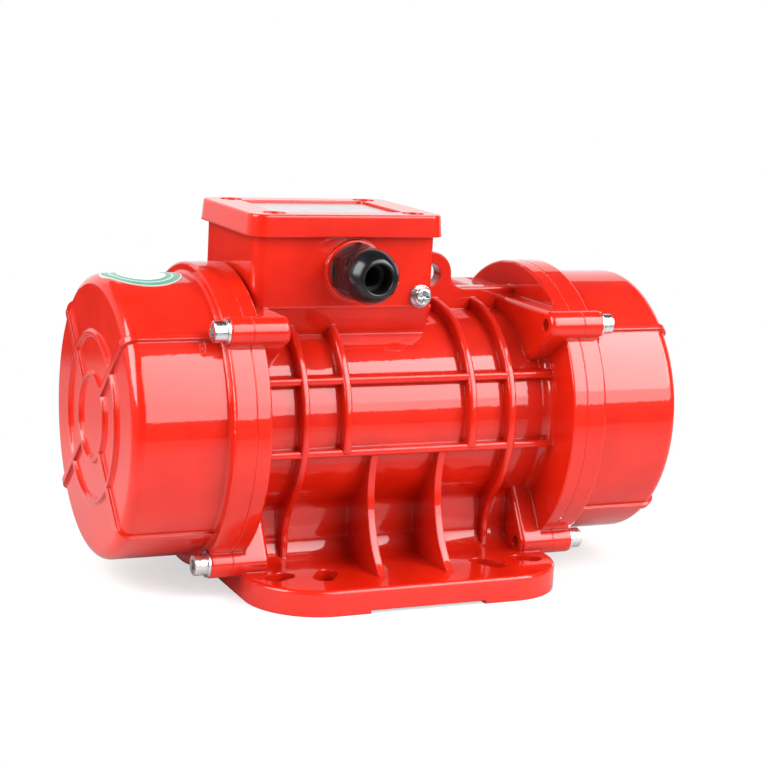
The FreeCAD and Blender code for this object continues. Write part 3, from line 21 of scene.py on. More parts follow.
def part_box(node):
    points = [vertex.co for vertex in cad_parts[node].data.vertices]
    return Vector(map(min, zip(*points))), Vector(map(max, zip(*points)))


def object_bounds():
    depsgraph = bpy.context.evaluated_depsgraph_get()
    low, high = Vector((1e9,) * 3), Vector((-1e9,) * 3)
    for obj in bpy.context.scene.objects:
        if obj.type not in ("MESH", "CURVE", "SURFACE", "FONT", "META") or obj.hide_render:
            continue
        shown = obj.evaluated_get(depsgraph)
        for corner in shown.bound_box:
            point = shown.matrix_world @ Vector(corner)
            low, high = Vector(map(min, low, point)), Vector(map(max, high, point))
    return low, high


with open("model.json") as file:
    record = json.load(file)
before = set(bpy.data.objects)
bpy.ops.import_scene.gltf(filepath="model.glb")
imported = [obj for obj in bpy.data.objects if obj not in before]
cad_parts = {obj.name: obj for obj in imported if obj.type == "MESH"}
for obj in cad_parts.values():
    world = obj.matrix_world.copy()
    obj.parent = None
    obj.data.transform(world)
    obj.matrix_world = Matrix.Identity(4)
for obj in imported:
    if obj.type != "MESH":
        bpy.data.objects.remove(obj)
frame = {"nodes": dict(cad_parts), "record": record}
CAD_LOW, CAD_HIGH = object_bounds()

# %% [markdown]
# ## Shader building blocks
#
# A material in Blender is a small network of nodes. It could be drawn by hand in the shader editor, but a
# script repeats it exactly. Three helpers keep it readable: `put` adds one node and fills its inputs, from
# plain values or from other nodes' outputs, `group` starts a shader node group with named inputs and
# outputs, and `use` places such a group in a material. Groups hold the effects that several finishes share.


# %% Helpers that add nodes
def fill(tree, node, inputs):
    """Fills a node's inputs, by name or number: a socket is linked, and a value is set."""
    for name, value in inputs.items():
        if isinstance(value, bpy.types.NodeSocket):
            tree.links.new(value, node.inputs[name])
        else:
            node.inputs[name].default_value = value
    return node


def put(tree, kind, inputs=None, **settings):
    """Adds a node of that kind. settings are its own properties."""
    made = tree.nodes.new("ShaderNode" + kind)
    for name, value in settings.items():
        setattr(made, name, value)
    return fill(tree, made, inputs or {})


def group(name, inputs, outputs):
    """A new node group. inputs are (name, socket type, default), and outputs are (name, socket type)."""
    tree = bpy.data.node_groups.new(name, "ShaderNodeTree")
    for label, kind, default in inputs:
        socket = tree.interface.new_socket(name=label, in_out="INPUT", socket_type=kind)
        if default is not None:
            socket.default_value = default
    for label, kind in outputs:
        tree.interface.new_socket(name=label, in_out="OUTPUT", socket_type=kind)
    return tree, tree.nodes.new("NodeGroupInput"), tree.nodes.new("NodeGroupOutput")


def use(tree, effect, inputs):
    """Places a node group in a material, with its own values."""
    made = tree.nodes.new("ShaderNodeGroup")
    made.node_tree = effect
    return fill(tree, made, inputs)


print("helpers ready: fill, put, group, use")

# %% [markdown]
# ## Effect 1: the skin of a spray coat
#
# Enamel is sprayed and baked, and it dries with two kinds of unevenness: a fine orange peel a millimetre
# or two wide, and slow waves of the casting below. Both are far too shallow to model, a few hundredths of
# a millimetre, but they are what bends a reflection. Two noises, one fine and one slow, are mixed into a
# height for a Bump node, and the slow one doubles as a mask for a faint change of shade.


# %% Node group: sprayed skin
def sprayed_skin():
    tree, given, out = group(
        "Sprayed skin",
        [("Position", "NodeSocketVector", None), ("Peel Scale", "NodeSocketFloat", 520.0),
         ("Wave Scale", "NodeSocketFloat", 46.0), ("Peel Share", "NodeSocketFloat", 0.35)],
        [("Height", "NodeSocketFloat"), ("Patches", "NodeSocketFloat")],
    )
    peel = put(tree, "TexNoise", {"Vector": given.outputs["Position"],
                                  "Scale": given.outputs["Peel Scale"], "Detail": 1.5})
    wave = put(tree, "TexNoise", {"Vector": given.outputs["Position"],
                                  "Scale": given.outputs["Wave Scale"], "Detail": 2.0})
    mix = put(tree, "Mix", {"Factor": given.outputs["Peel Share"],
                            "A": wave.outputs["Fac"], "B": peel.outputs["Fac"]}, data_type="FLOAT")
    tree.links.new(mix.outputs["Result"], out.inputs["Height"])
    tree.links.new(wave.outputs["Fac"], out.inputs["Patches"])
    return tree


SPRAYED_SKIN = sprayed_skin()
print("effect:", SPRAYED_SKIN.name)

# %% [markdown]
# ## Effect 2: rounded edges
#
# No edge of a casting is razor sharp, and paint rounds it further. A Bevel modifier would cut new faces
# into every solid. The Bevel node leaves the solids alone: it bends the normal near an edge as though it
# were rounded, and comparing it with the true normal tells where the edges are. The group gives both: a
# normal for the shader and a mask for thin paint or bright wear.


# %% Node group: rounded edges
def rounded_edges():
    tree, given, out = group(
        "Rounded edges", [("Radius", "NodeSocketFloat", 0.0008), ("Sharpness", "NodeSocketFloat", 4.0)],
        [("Normal", "NodeSocketVector"), ("Edge", "NodeSocketFloat")],
    )
    bevel = put(tree, "Bevel", {"Radius": given.outputs["Radius"]}, samples=6)
    true = put(tree, "NewGeometry")
    same = put(tree, "VectorMath", {0: bevel.outputs["Normal"], 1: true.outputs["Normal"]},
               operation="DOT_PRODUCT")
    away = put(tree, "Math", {0: 1.0, 1: same.outputs["Value"]}, operation="SUBTRACT")
    edge = put(tree, "Math", {0: away.outputs[0], 1: given.outputs["Sharpness"]},
               operation="MULTIPLY", use_clamp=True)
    tree.links.new(bevel.outputs["Normal"], out.inputs["Normal"])
    tree.links.new(edge.outputs[0], out.inputs["Edge"])
    return tree


ROUNDED_EDGES = rounded_edges()
print("effect:", ROUNDED_EDGES.name)

# %% [markdown]
# ## Effect 3: drawn and ground metal
#
# Sheet is brushed, and a shaft is ground, along one direction. The shader's Anisotropic input would only
# stretch the highlight. A noise that is squeezed across that direction and stretched along it shows the
# fine streaks as well. The stretch is an input, so that one group serves the nameplate, the shaft and the
# screws.


# %% Node group: directional grain
def directional_grain():
    tree, given, out = group(
        "Directional grain",
        [("Position", "NodeSocketVector", None), ("Stretch", "NodeSocketVector", (40.0, 4000.0, 4000.0)),
         ("Spread", "NodeSocketFloat", 0.5)],
        [("Streaks", "NodeSocketFloat"), ("Clouds", "NodeSocketFloat")],
    )
    stretched = put(tree, "VectorMath", {0: given.outputs["Position"], 1: given.outputs["Stretch"]},
                    operation="MULTIPLY")
    streaks = put(tree, "TexNoise", {"Vector": stretched.outputs[0], "Scale": 1.0, "Detail": 3.0,
                                     "Roughness": given.outputs["Spread"]})
    clouds = put(tree, "TexNoise", {"Vector": given.outputs["Position"], "Scale": 90.0, "Detail": 3.0})
    tree.links.new(streaks.outputs["Fac"], out.inputs["Streaks"])
    tree.links.new(clouds.outputs["Fac"], out.inputs["Clouds"])
    return tree


DIRECTIONAL_GRAIN = directional_grain()
print("effect:", DIRECTIONAL_GRAIN.name)

# %% [markdown]
# ## Effect 4: the grain of a mould or a sand core
#
# Moulded nylon, pressed rubber and cast metal have no direction: they are covered in tiny pits. Sculpting
# them would take millions of faces, so Voronoi cells give the pits and a noise spreads them unevenly. The
# cast metals take the same group with larger cells.


# %% Node group: pitted grain
def pitted_grain():
    tree, given, out = group(
        "Pitted grain",
        [("Position", "NodeSocketVector", None), ("Pit Scale", "NodeSocketFloat", 1800.0),
         ("Cloud Scale", "NodeSocketFloat", 120.0)],
        [("Height", "NodeSocketFloat"), ("Clouds", "NodeSocketFloat")],
    )
    pits = put(tree, "TexVoronoi", {"Vector": given.outputs["Position"],
                                    "Scale": given.outputs["Pit Scale"]})
    clouds = put(tree, "TexNoise", {"Vector": given.outputs["Position"],
                                    "Scale": given.outputs["Cloud Scale"], "Detail": 4.0})
    height = put(tree, "Math", {0: pits.outputs["Distance"], 1: clouds.outputs["Fac"]},
                 operation="MULTIPLY")
    tree.links.new(height.outputs[0], out.inputs["Height"])
    tree.links.new(clouds.outputs["Fac"], out.inputs["Clouds"])
    return tree


PITTED_GRAIN = pitted_grain()
print("effect:", PITTED_GRAIN.name)

# %% [markdown]
# ## Starting a finish
#
# Every finish starts the same way: a Principled shader and a position in metres. UV coordinates would
# need an unwrapped mesh for each solid. Object coordinates need nothing, and because each solid's object
# sits at the origin, all of them share one space.


# %% Helpers that start a finish
def new_finish(name, **plain):
    """A material with a Principled shader. plain sets the shader's own sockets, with _ for a space."""
    material = bpy.data.materials.new(name)
    material.use_nodes = True
    tree = material.node_tree
    shader = tree.nodes["Principled BSDF"]
    for socket, value in plain.items():
        shader.inputs[socket.replace("_", " ")].default_value = value
    where = put(tree, "TexCoord").outputs["Object"]
    return material, tree, shader, where


def shade(tree, mask, dark, light, low=0.3, high=0.7):
    """A colour that goes from dark to light as mask goes from low to high."""
    scale = put(tree, "ValToRGB", {"Fac": mask})
    for stop, position, colour in zip(scale.color_ramp.elements, (low, high), (dark, light)):
        stop.position = position
        stop.color = (*colour, 1)
    return scale.outputs["Color"]


def between(tree, mask, low, high, from_low=0.3, from_high=0.7):
    """A number that goes from low to high as mask goes from from_low to from_high."""
    return put(tree, "MapRange", {"Value": mask, "From Min": from_low, "From Max": from_high,
                                  "To Min": low, "To Max": high}).outputs["Result"]


def dent(tree, shader, height, depth, normal=None):
    """A Bump node of that depth in metres, over an optional normal, into the shader."""
    inputs = {"Height": height, "Distance": depth, "Strength": 1.0}
    if normal is not None:
        inputs["Normal"] = normal
    bump = put(tree, "Bump", inputs)
    tree.links.new(bump.outputs["Normal"], shader.inputs["Normal"])
    return bump


FINISHES = {}


def finished(*makers):
    """Makes each finish once and keeps it under its function's name, which is also its slot's name."""
    for make in makers:
        FINISHES[make.__name__] = make()
    print("finishes:", ", ".join(make.__name__ for make in makers))


print("helpers ready: new_finish, shade, between, dent, finished")

# %% [markdown]
# ## Finish: red enamel
#
# The whole casting, both covers and the lid wear one thick coat of glossy red enamel. It is a colour
# layer under a clear, very smooth skin. A glossy shader mixed over a diffuse one would give that look too,
# but the Principled shader's coat does it in one node and keeps the energy right. The paint is a trifle
# thin and dark on outer edges, and it ripples a little over the casting.


# %% Red enamel
def red_enamel():
    material, tree, shader, where = new_finish("red_enamel", Coat_Weight=1.0, Coat_Roughness=0.035,
                                               Specular_IOR_Level=0.1)
    skin = use(tree, SPRAYED_SKIN, {"Position": where})
    edges = use(tree, ROUNDED_EDGES, {"Radius": 0.0011, "Sharpness": 2.5})
    colour = shade(tree, skin.outputs["Patches"], (0.43, 0.0075, 0.0015), (0.50, 0.0105, 0.002))
    thin = put(tree, "Math", {0: edges.outputs["Edge"], 1: 0.30}, operation="MULTIPLY")
    worn = put(tree, "Mix", {"Factor": thin.outputs[0], "A": colour, "B": (0.38, 0.006, 0.002, 1)},
               data_type="RGBA")
    tree.links.new(worn.outputs["Result"], shader.inputs["Base Color"])
    tree.links.new(between(tree, skin.outputs["Patches"], 0.36, 0.46), shader.inputs["Roughness"])
    bump = dent(tree, shader, skin.outputs["Height"], 0.00005, edges.outputs["Normal"])
    tree.links.new(bump.outputs["Normal"], shader.inputs["Coat Normal"])
    return material


finished(red_enamel)

# %% [markdown]
# ## Finishes: plated and ground metals
#
# The screws of the housing and of the terminal box are zinc plated: bright and a little cloudy. Those of
# the weights are black steel, the bearings are polished, the shaft is ground round and the nameplate is
# brushed along its length. Each could have its own nodes, but only the colour, the polish and the run of
# the grain differ, so one function makes them all. The stretch has a small number along the grain and a
# large one across it, and three equal numbers give a metal without a direction.


# %% Plated and ground metals
def plain_metal(name, colour, rough, stretch, depth=0.00001, edge_radius=0.0003):
    """A metal with a drawn grain: colour is (dark, light), rough is (smooth, dull)."""
    material, tree, shader, where = new_finish(name, Metallic=1.0)
    grain = use(tree, DIRECTIONAL_GRAIN, {"Position": where, "Stretch": stretch})
    edges = use(tree, ROUNDED_EDGES, {"Radius": edge_radius})
    tree.links.new(shade(tree, grain.outputs["Clouds"], *colour), shader.inputs["Base Color"])
    tree.links.new(between(tree, grain.outputs["Streaks"], *rough), shader.inputs["Roughness"])
    dent(tree, shader, grain.outputs["Streaks"], depth, edges.outputs["Normal"])
    return material


def zinc_steel():
    return plain_metal("zinc_steel", ((0.72, 0.73, 0.75), (0.88, 0.89, 0.91)), (0.20, 0.36),
                       (500.0, 500.0, 500.0), 0.000015)


def black_steel():
    return plain_metal("black_steel", ((0.035, 0.036, 0.040), (0.075, 0.077, 0.082)), (0.28, 0.42),
                       (900.0, 900.0, 900.0))


def bearing_steel():
    return plain_metal("bearing_steel", ((0.62, 0.63, 0.65), (0.74, 0.75, 0.77)), (0.07, 0.14),
                       (60.0, 2600.0, 2600.0), 0.000003, 0.0002)


def cage_steel():
    return plain_metal("cage_steel", ((0.42, 0.42, 0.44), (0.56, 0.56, 0.58)), (0.24, 0.36),
                       (300.0, 1500.0, 1500.0))


def ground_steel():
    return plain_metal("ground_steel", ((0.52, 0.53, 0.55), (0.66, 0.67, 0.69)), (0.16, 0.30),
                       (3800.0, 60.0, 60.0), 0.000008)


def spring_steel():
    return plain_metal("spring_steel", ((0.10, 0.10, 0.11), (0.18, 0.18, 0.19)), (0.30, 0.44),
                       (700.0, 700.0, 700.0))


def brass():
    return plain_metal("brass", ((0.62, 0.42, 0.15), (0.78, 0.56, 0.24)), (0.20, 0.34),
                       (900.0, 900.0, 2200.0), 0.000012)


def plate_aluminium():
    return plain_metal("plate_aluminium", ((0.74, 0.76, 0.77), (0.84, 0.86, 0.87)), (0.22, 0.34),
                       (40.0, 5200.0, 5200.0), 0.000010, 0.0001)


finished(zinc_steel, black_steel, bearing_steel, cage_steel, ground_steel, spring_steel, brass,
         plate_aluminium)

# %% [markdown]
# ## Finishes: cast metals
#
# The bearing shields and the rotor's cage keep the faint sandy skin of the mould. The weights are cast
# iron: darker, duller, and bright where an edge has been rubbed. Painting such wear by hand would take a
# mask for each weight, and the mask of the rounded edges gives it for nothing.


# %% Cast metals
def bare_aluminium():
    """Aluminium as cast, without paint."""
    material, tree, shader, where = new_finish("bare_aluminium", Metallic=1.0)
    pits = use(tree, PITTED_GRAIN, {"Position": where, "Pit Scale": 900.0, "Cloud Scale": 70.0})
    edges = use(tree, ROUNDED_EDGES, {"Radius": 0.0005})
    tree.links.new(shade(tree, pits.outputs["Clouds"], (0.55, 0.56, 0.58), (0.70, 0.71, 0.73)),
                   shader.inputs["Base Color"])
    tree.links.new(between(tree, pits.outputs["Clouds"], 0.34, 0.52), shader.inputs["Roughness"])
    dent(tree, shader, pits.outputs["Height"], 0.00008, edges.outputs["Normal"])
    return material


def weight_iron():
    """Machined cast iron, a little oily, so not wholly metallic."""
    material, tree, shader, where = new_finish("weight_iron", Metallic=0.85)
    pits = use(tree, PITTED_GRAIN, {"Position": where, "Pit Scale": 1300.0, "Cloud Scale": 110.0})
    edges = use(tree, ROUNDED_EDGES, {"Radius": 0.0005, "Sharpness": 5.0})
    dark = shade(tree, pits.outputs["Clouds"], (0.13, 0.13, 0.135), (0.24, 0.24, 0.25))
    bright = put(tree, "Mix", {"Factor": edges.outputs["Edge"], "A": dark, "B": (0.42, 0.42, 0.43, 1)},
                 data_type="RGBA")
    tree.links.new(bright.outputs["Result"], shader.inputs["Base Color"])
    tree.links.new(between(tree, pits.outputs["Clouds"], 0.38, 0.58), shader.inputs["Roughness"])
    dent(tree, shader, pits.outputs["Height"], 0.00006, edges.outputs["Normal"])
    return material


finished(bare_aluminium, weight_iron)

# %% [markdown]
# ## Finishes: the stator's and rotor's iron and copper
#
# The core is a stack of thin steel sheets, and the winding is a bundle of varnished wires. Both could be
# modelled, sheet by sheet and wire by wire. But they lie inside the barrel, so a wave texture is enough:
# it draws the sheets as lines across the shaft and the wires as wavy arcs, and a Bump node gives relief.


# %% Core and winding
def core_laminations():
    """Sheets stacked along the shaft: a light and a dark line to each millimetre of X."""
    material, tree, shader, where = new_finish("core_laminations", Metallic=0.9)
    sheets = put(tree, "TexWave", {"Vector": where, "Scale": 320.0, "Distortion": 0.4, "Detail": 1.0},
                 bands_direction="X")
    grain = use(tree, PITTED_GRAIN, {"Position": where, "Pit Scale": 700.0})
    tree.links.new(shade(tree, sheets.outputs["Fac"], (0.16, 0.17, 0.19), (0.36, 0.37, 0.39)),
                   shader.inputs["Base Color"])
    tree.links.new(between(tree, grain.outputs["Clouds"], 0.32, 0.50), shader.inputs["Roughness"])
    dent(tree, shader, sheets.outputs["Fac"], 0.00008)
    return material


def copper_winding():
    """Strands of enamelled wire in baked varnish, as uneven arcs about the X axis."""
    material, tree, shader, where = new_finish("copper_winding", Metallic=0.6, Coat_Weight=0.7,
                                               Coat_Roughness=0.18)
    strands = put(tree, "TexWave", {"Vector": where, "Scale": 260.0, "Distortion": 5.0, "Detail": 2.0,
                                    "Detail Scale": 1.4}, wave_type="RINGS", rings_direction="X")
    cloud = put(tree, "TexNoise", {"Vector": where, "Scale": 60.0})
    tree.links.new(shade(tree, strands.outputs["Fac"], (0.20, 0.06, 0.02), (0.62, 0.26, 0.10)),
                   shader.inputs["Base Color"])
    tree.links.new(between(tree, cloud.outputs["Fac"], 0.30, 0.45), shader.inputs["Roughness"])
    dent(tree, shader, strands.outputs["Fac"], 0.00025)
    return material


finished(core_laminations, copper_winding)

# %% [markdown]
# ## Finishes: nylon, rubber and moulded plastic
#
# The gland is black nylon: very dark and glossy, with a soft edge to its highlights. The gaskets are matt
# rubber, and the terminal block is a hard moulding that lies between the two. All three come out of a
# mould and share its grain, so again one function with other values is enough.


# %% Plastic and rubber finishes
def moulded(name, dark, light, rough, pit_scale, depth, edge_radius=0.0006, specular=0.5):
    """A moulding: dark and light are its colours in the grain, rough is (smooth, dull)."""
    material, tree, shader, where = new_finish(name, Specular_IOR_Level=specular)
    pits = use(tree, PITTED_GRAIN, {"Position": where, "Pit Scale": pit_scale})
    edges = use(tree, ROUNDED_EDGES, {"Radius": edge_radius})
    tree.links.new(shade(tree, pits.outputs["Clouds"], dark, light), shader.inputs["Base Color"])
    tree.links.new(between(tree, pits.outputs["Clouds"], *rough), shader.inputs["Roughness"])
    dent(tree, shader, pits.outputs["Height"], depth, edges.outputs["Normal"])
    return material


def black_nylon():
    return moulded("black_nylon", (0.004, 0.004, 0.0045), (0.009, 0.009, 0.010), (0.17, 0.26), 2200.0,
                   0.00002, specular=0.42)


def black_rubber():
    return moulded("black_rubber", (0.018, 0.018, 0.018), (0.032, 0.032, 0.032), (0.62, 0.78), 1600.0,
                   0.00007)


def block_plastic():
    return moulded("block_plastic", (0.035, 0.035, 0.038), (0.055, 0.055, 0.060), (0.38, 0.50), 1500.0,
                   0.00005)


finished(black_nylon, black_rubber, block_plastic)

# %% [markdown]
# ## Finish: the round label
#
# A round printed film sticks to the top of the left cover and bends with it. It carries plain rings and
# nothing else: a pale rim, two green rings with a paler one between them, and a pale centre. An image
# texture could carry them, but rings are simply the distance from the label's centre, seen from above,
# so a colour ramp of hard steps draws them at any size. The centre and the radius come from the box of
# the label's own solid, so the rings still fit when the label is moved or resized.

# %% Where the label lies
LABEL_LOW, LABEL_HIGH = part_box("round_label")
LABEL_R = (LABEL_HIGH.y - LABEL_LOW.y) / 2
# The film's left side bends down over the cover's corner, so its right side gives the centre.
LABEL_X = LABEL_HIGH.x - LABEL_R
LABEL_Y = (LABEL_LOW.y + LABEL_HIGH.y) / 2
# Each ring starts at a share of the radius and has one colour up to the next.
RINGS = [(0.0, (0.56, 0.55, 0.56)), (0.60, (0.035, 0.20, 0.135)), (0.74, (0.30, 0.46, 0.40)),
         (0.79, (0.035, 0.20, 0.135)), (0.955, (0.40, 0.40, 0.35))]


# %% Round label
def printed_label():
    material, tree, shader, where = new_finish("printed_label", Coat_Weight=0.25, Coat_Roughness=0.2,
                                               Specular_IOR_Level=0.3)
    flat = put(tree, "VectorMath", {0: where, 1: (1.0, 1.0, 0.0)}, operation="MULTIPLY")
    away = put(tree, "VectorMath", {0: flat.outputs[0], 1: (LABEL_X, LABEL_Y, 0.0)},
               operation="DISTANCE")
    share = put(tree, "Math", {0: away.outputs["Value"], 1: LABEL_R}, operation="DIVIDE")
    rings = put(tree, "ValToRGB", {"Fac": share.outputs[0]})
    rings.color_ramp.interpolation = "CONSTANT"
    while len(rings.color_ramp.elements) < len(RINGS):
        rings.color_ramp.elements.new(0.5)
    for ring, (position, colour) in zip(rings.color_ramp.elements, RINGS):
        ring.position = position
        ring.color = (*colour, 1)
    print_grain = use(tree, SPRAYED_SKIN, {"Position": where, "Peel Scale": 2600.0, "Wave Scale": 120.0})
    faded = put(tree, "Mix", {"Factor": between(tree, print_grain.outputs["Patches"], 0.0, 0.14),
                              "A": rings.outputs["Color"], "B": (0.45, 0.50, 0.48, 1)}, data_type="RGBA")
    tree.links.new(faded.outputs["Result"], shader.inputs["Base Color"])
    tree.links.new(between(tree, print_grain.outputs["Patches"], 0.22, 0.32), shader.inputs["Roughness"])
    dent(tree, shader, print_grain.outputs["Height"], 0.00003)
    return material


finished(printed_label)

# %% [markdown]
# ## Dressing the solids
#
# Every solid could be picked by hand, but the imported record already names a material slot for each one.
# The finishes are kept under the slots' names, so a short loop dresses the whole motor, and the parts
# inside it too.

# %% Give every solid its finish
SLOT_OF = {part["node"]: part["material_slot"] for part in frame["record"]["subparts"]}
for name, solid in frame["nodes"].items():
    solid.data.materials.clear()
    solid.data.materials.append(FINISHES[SLOT_OF[name]])
print(len(frame["nodes"]), "solids dressed with", len(FINISHES), "finishes")

# %% [markdown]
# ## The studio
#
# Gloss shows what stands around it, so each lamp is placed for the band of light that it draws. An
# environment image could do the same, but lamps are easier to move until each band sits right.
# One tall soft box in front on the right draws the broad bands along the barrel and the covers. It is
# brighter towards its right side, as a box is whose bulb stands off centre. A low strip carries the band
# on downwards at one even brightness: its upper edge meets the tall box's lower edge, so no seam shows.
# A third box stands on the left and lights the faces that look that way. Between the strip and the
# table's edge the room is dark, which leaves a saturated red band on every round shape.


# %% Soft boxes
# The lamps point at the middle of the motor's footprint, at about the height of its shaft.
TARGET = Vector((0.0, 0.0, 0.08))


def soft_box(name, azimuth, elevation, distance, width, height, radiance, left=1.0, right=1.0):
    """A lamp seen from the motor at these angles: azimuth 0 is straight in front, 90 is to the right.
    left and right scale its radiance at its two upright edges, and it changes evenly between them."""
    a, e = math.radians(azimuth), math.radians(elevation)
    way = Vector((math.sin(a) * math.cos(e), -math.cos(a) * math.cos(e), math.sin(e)))
    lamp = bpy.data.lights.new(name, "AREA")
    lamp.shape = "RECTANGLE"
    lamp.size = width
    lamp.size_y = height
    lamp.energy = radiance * math.pi * width * height
    if left != right:
        lamp.use_nodes = True
        tree = lamp.node_tree
        across = put(tree, "SeparateXYZ", {"Vector": put(tree, "NewGeometry").outputs["Parametric"]})
        glow = put(tree, "MapRange", {"Value": across.outputs["X"], "To Min": left, "To Max": right})
        tree.links.new(glow.outputs["Result"], tree.nodes["Emission"].inputs["Strength"])
    light = bpy.data.objects.new(name, lamp)
    light.location = TARGET + way * distance
    light.rotation_euler = way.to_track_quat("Z", "Y").to_euler()
    bpy.context.scene.collection.objects.link(light)


# Each line gives a name, azimuth, elevation, distance, width, height and radiance. The strip's elevation,
# distance and height are chosen so that it meets the tall box.
soft_box("tall_box", 31.5, 36, 1.5, 1.40, 1.15, 7.75, left=0.46, right=1.54)
soft_box("lower_strip", 31.5, 10.69, 1.601, 1.40, 0.242, 4.8)
soft_box("left_box", -82, 32, 1.5, 1.0, 1.2, 9.5)

# %% [markdown]
# ## The table
#
# The table is pale. Close to the motor it is lit by the lamps and keeps a faint soft shadow, and further
# off it fades to plain white for the camera, so that no horizon shows. In reflections the lit cloth near
# the motor has its colour painted darker, a painted shade under the motor. Further off, reflections see
# a round pale field, dimmer towards the left, that ends a little more than half a metre away with a dark
# room beyond it.
#
# Large cards and cloths could be modelled for the same effect. Light Path needs none of them: it tells
# a shader whether the camera, a reflection or soft light is asking, so one plane can look different to
# each. The distances below are from the middle of the motor, in metres.


# %% Table
WHITE, BLACK = (1, 1, 1, 1), (0, 0, 0, 1)
TABLE_LEFT, TABLE_RIGHT, TABLE_FRONT, TABLE_REAR = -1.8, 1.8, -0.62, 2.2
VIEW_FADE = (0.12, 0.32)  # the camera's view goes over from the lit cloth to plain white
GLOSS_FADE = (0.20, 0.46)  # reflections go over from the lit cloth to the plain field
FIELD_EDGE = (0.56, 0.66)  # the plain field ends
LEFT_DIMMING = (-0.30, 0.15)  # along X, the field brightens from left to right


def ramp(tree, value, low, high, from_value, to_value):
    """A number that goes softly from from_value to to_value as value goes from low to high."""
    return put(tree, "MapRange", {"Value": value, "From Min": low, "From Max": high,
                                  "To Min": from_value, "To Max": to_value},
               interpolation_type="SMOOTHSTEP").outputs["Result"]


def times(tree, a, b):
    """The product of two numbers or sockets."""
    return put(tree, "Math", {0: a, 1: b}, operation="MULTIPLY").outputs[0]


def table():
    mesh = bpy.data.meshes.new("studio_table")
    mesh.from_pydata([(TABLE_LEFT, TABLE_FRONT, 0), (TABLE_RIGHT, TABLE_FRONT, 0),
                      (TABLE_RIGHT, TABLE_REAR, 0), (TABLE_LEFT, TABLE_REAR, 0)], [], [(0, 1, 2, 3)])
    slab = bpy.data.objects.new("studio_table", mesh)
    slab.location.z = CAD_LOW[2]
    bpy.context.scene.collection.objects.link(slab)
    material, tree, shader, where = new_finish("studio_table", Roughness=0.75)
    away = put(tree, "VectorMath", {0: where}, operation="LENGTH").outputs["Value"]
    across = put(tree, "SeparateXYZ", {"Vector": where}).outputs["X"]
    path = put(tree, "LightPath")
    mottle = put(tree, "TexNoise", {"Vector": where, "Scale": 3.0})
    cloth = shade(tree, mottle.outputs["Fac"], (0.76, 0.76, 0.76), (0.79, 0.79, 0.79))
    # Painted shade: in reflections the lit cloth's colour is painted darker, to 45 per cent, under the motor.
    painted_shade = put(tree, "Mix", {"Factor": times(tree, path.outputs["Is Glossy Ray"], 0.55),
                               "A": cloth, "B": BLACK}, data_type="RGBA")
    tree.links.new(painted_shade.outputs["Result"], shader.inputs["Base Color"])
    seen = times(tree, ramp(tree, away, *VIEW_FADE, 0.60, 1.0), path.outputs["Is Camera Ray"])
    far = times(tree, ramp(tree, away, *GLOSS_FADE, 0.0, 1.0), path.outputs["Is Glossy Ray"])
    field = times(tree, ramp(tree, away, *FIELD_EDGE, 0.55, 0.02),
                  between(tree, across, 0.62, 1.0, *LEFT_DIMMING))
    white = put(tree, "Emission", {"Color": WHITE, "Strength": 1.0})
    mirrored = put(tree, "Emission", {"Color": WHITE, "Strength": field})
    blend = put(tree, "MixShader", {0: far, 1: shader.outputs[0], 2: mirrored.outputs[0]})
    blend = put(tree, "MixShader", {0: seen, 1: blend.outputs[0], 2: white.outputs[0]})
    tree.links.new(blend.outputs[0], tree.nodes["Material Output"].inputs["Surface"])
    material.cycles.emission_sampling = "NONE"
    mesh.materials.append(material)
    return slab


TABLE = table()
print("stage:", TABLE.name)

# %% [markdown]
# ## The room
#
# The room has three faces, again told apart by Light Path. The camera sees white. Gloss sees a dark room
# with one broad white backdrop behind the motor, dimmer on the left, which ends a third of the way up the
# sky: its edge draws the crisp pale line along the top of every round form. Soft light comes from a plain
# gradient that brightens upwards and to the back. A real room or an environment image would bring
# reflections of its own, and these few limits are easier to tune. They are parts of a direction whose
# length is one: X to the right, Y to the back and Z up.


# %% Room
BACKDROP_TOP = (0.53, 0.56)  # Z, where the backdrop ends upwards
BACKDROP_SIDE = (0.20, 0.35)  # Y, where it starts on both sides
BACKDROP_LEFT = (-0.40, -0.20)  # X, where its dimmer left part ends


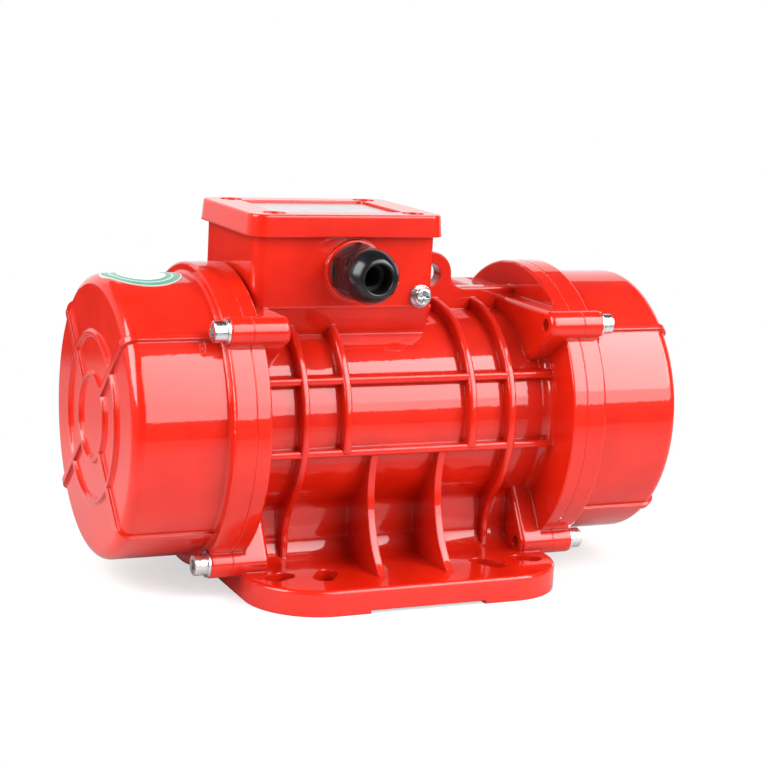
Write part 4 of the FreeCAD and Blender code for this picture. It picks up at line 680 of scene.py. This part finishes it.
def room():
    world = bpy.data.worlds.new("studio_room")
    bpy.context.scene.world = world
    world.use_nodes = True
    world.cycles.sampling_method = "NONE"
    tree = world.node_tree
    way = put(tree, "SeparateXYZ", {"Vector": put(tree, "TexCoord").outputs["Generated"]}).outputs
    path = put(tree, "LightPath")

    def glow(strength):
        return put(tree, "Background", {"Color": WHITE, "Strength": strength}).outputs[0]

    lift = put(tree, "Math", {0: way["Z"], 1: 0.6, 2: way["Y"]}, operation="MULTIPLY_ADD")
    soft = glow(ramp(tree, lift.outputs[0], -0.7, 0.7, 0.24, 0.97))
    behind = times(tree, ramp(tree, way["Y"], *BACKDROP_SIDE, 0.0, 1.0),
                   ramp(tree, way["X"], *BACKDROP_LEFT, 0.5, 1.0))
    backdrop = times(tree, ramp(tree, way["Z"], *BACKDROP_TOP, 1.0, 0.0), behind)
    mirrored = glow(ramp(tree, backdrop, 0.0, 1.0, 0.03, 1.05))
    tree.nodes.remove(tree.nodes["Background"])
    light = put(tree, "MixShader", {0: path.outputs["Is Glossy Ray"], 1: soft, 2: mirrored})
    seen = put(tree, "MixShader", {0: path.outputs["Is Camera Ray"], 1: light.outputs[0], 2: glow(1.0)})
    tree.links.new(seen.outputs[0], tree.nodes["World Output"].inputs["Surface"])
    return world


ROOM = room()
print("room:", ROOM.name)

# %% [markdown]
# ## The camera
#
# A long lens nearly a metre away keeps the two covers about the same size. It stands to the left of the
# front and above the shaft, and is turned by a few degrees about its own line. A Track To constraint
# could aim it, but it can't give that turn, so the matrix is built from the camera's three directions:
# right, up and back.

# %% Camera
PLACE = Vector((-0.3759, -0.8349, 0.2684))
AZIMUTH, ELEVATION, ROLL = math.radians(-24.753), math.radians(10.980), math.radians(3.117)
LENS, SENSOR = 88.0, 36.0

back = Vector((math.sin(AZIMUTH) * math.cos(ELEVATION), -math.cos(AZIMUTH) * math.cos(ELEVATION),
               math.sin(ELEVATION)))
level = Vector((math.cos(AZIMUTH), math.sin(AZIMUTH), 0))
upright = back.cross(level)
right = level * math.cos(ROLL) + upright * math.sin(ROLL)
up = upright * math.cos(ROLL) - level * math.sin(ROLL)
camera_data = bpy.data.cameras.new("camera")
camera_data.lens = LENS
camera_data.sensor_width = SENSOR
camera = bpy.data.objects.new("camera", camera_data)
camera.matrix_world = Matrix.Translation(PLACE) @ Matrix((right, up, back)).transposed().to_4x4()
bpy.context.scene.collection.objects.link(camera)
bpy.context.scene.camera = camera
bpy.context.scene.view_settings.view_transform = "Standard"
print("camera", [round(v, 3) for v in camera.matrix_world.translation], "lens", camera_data.lens)
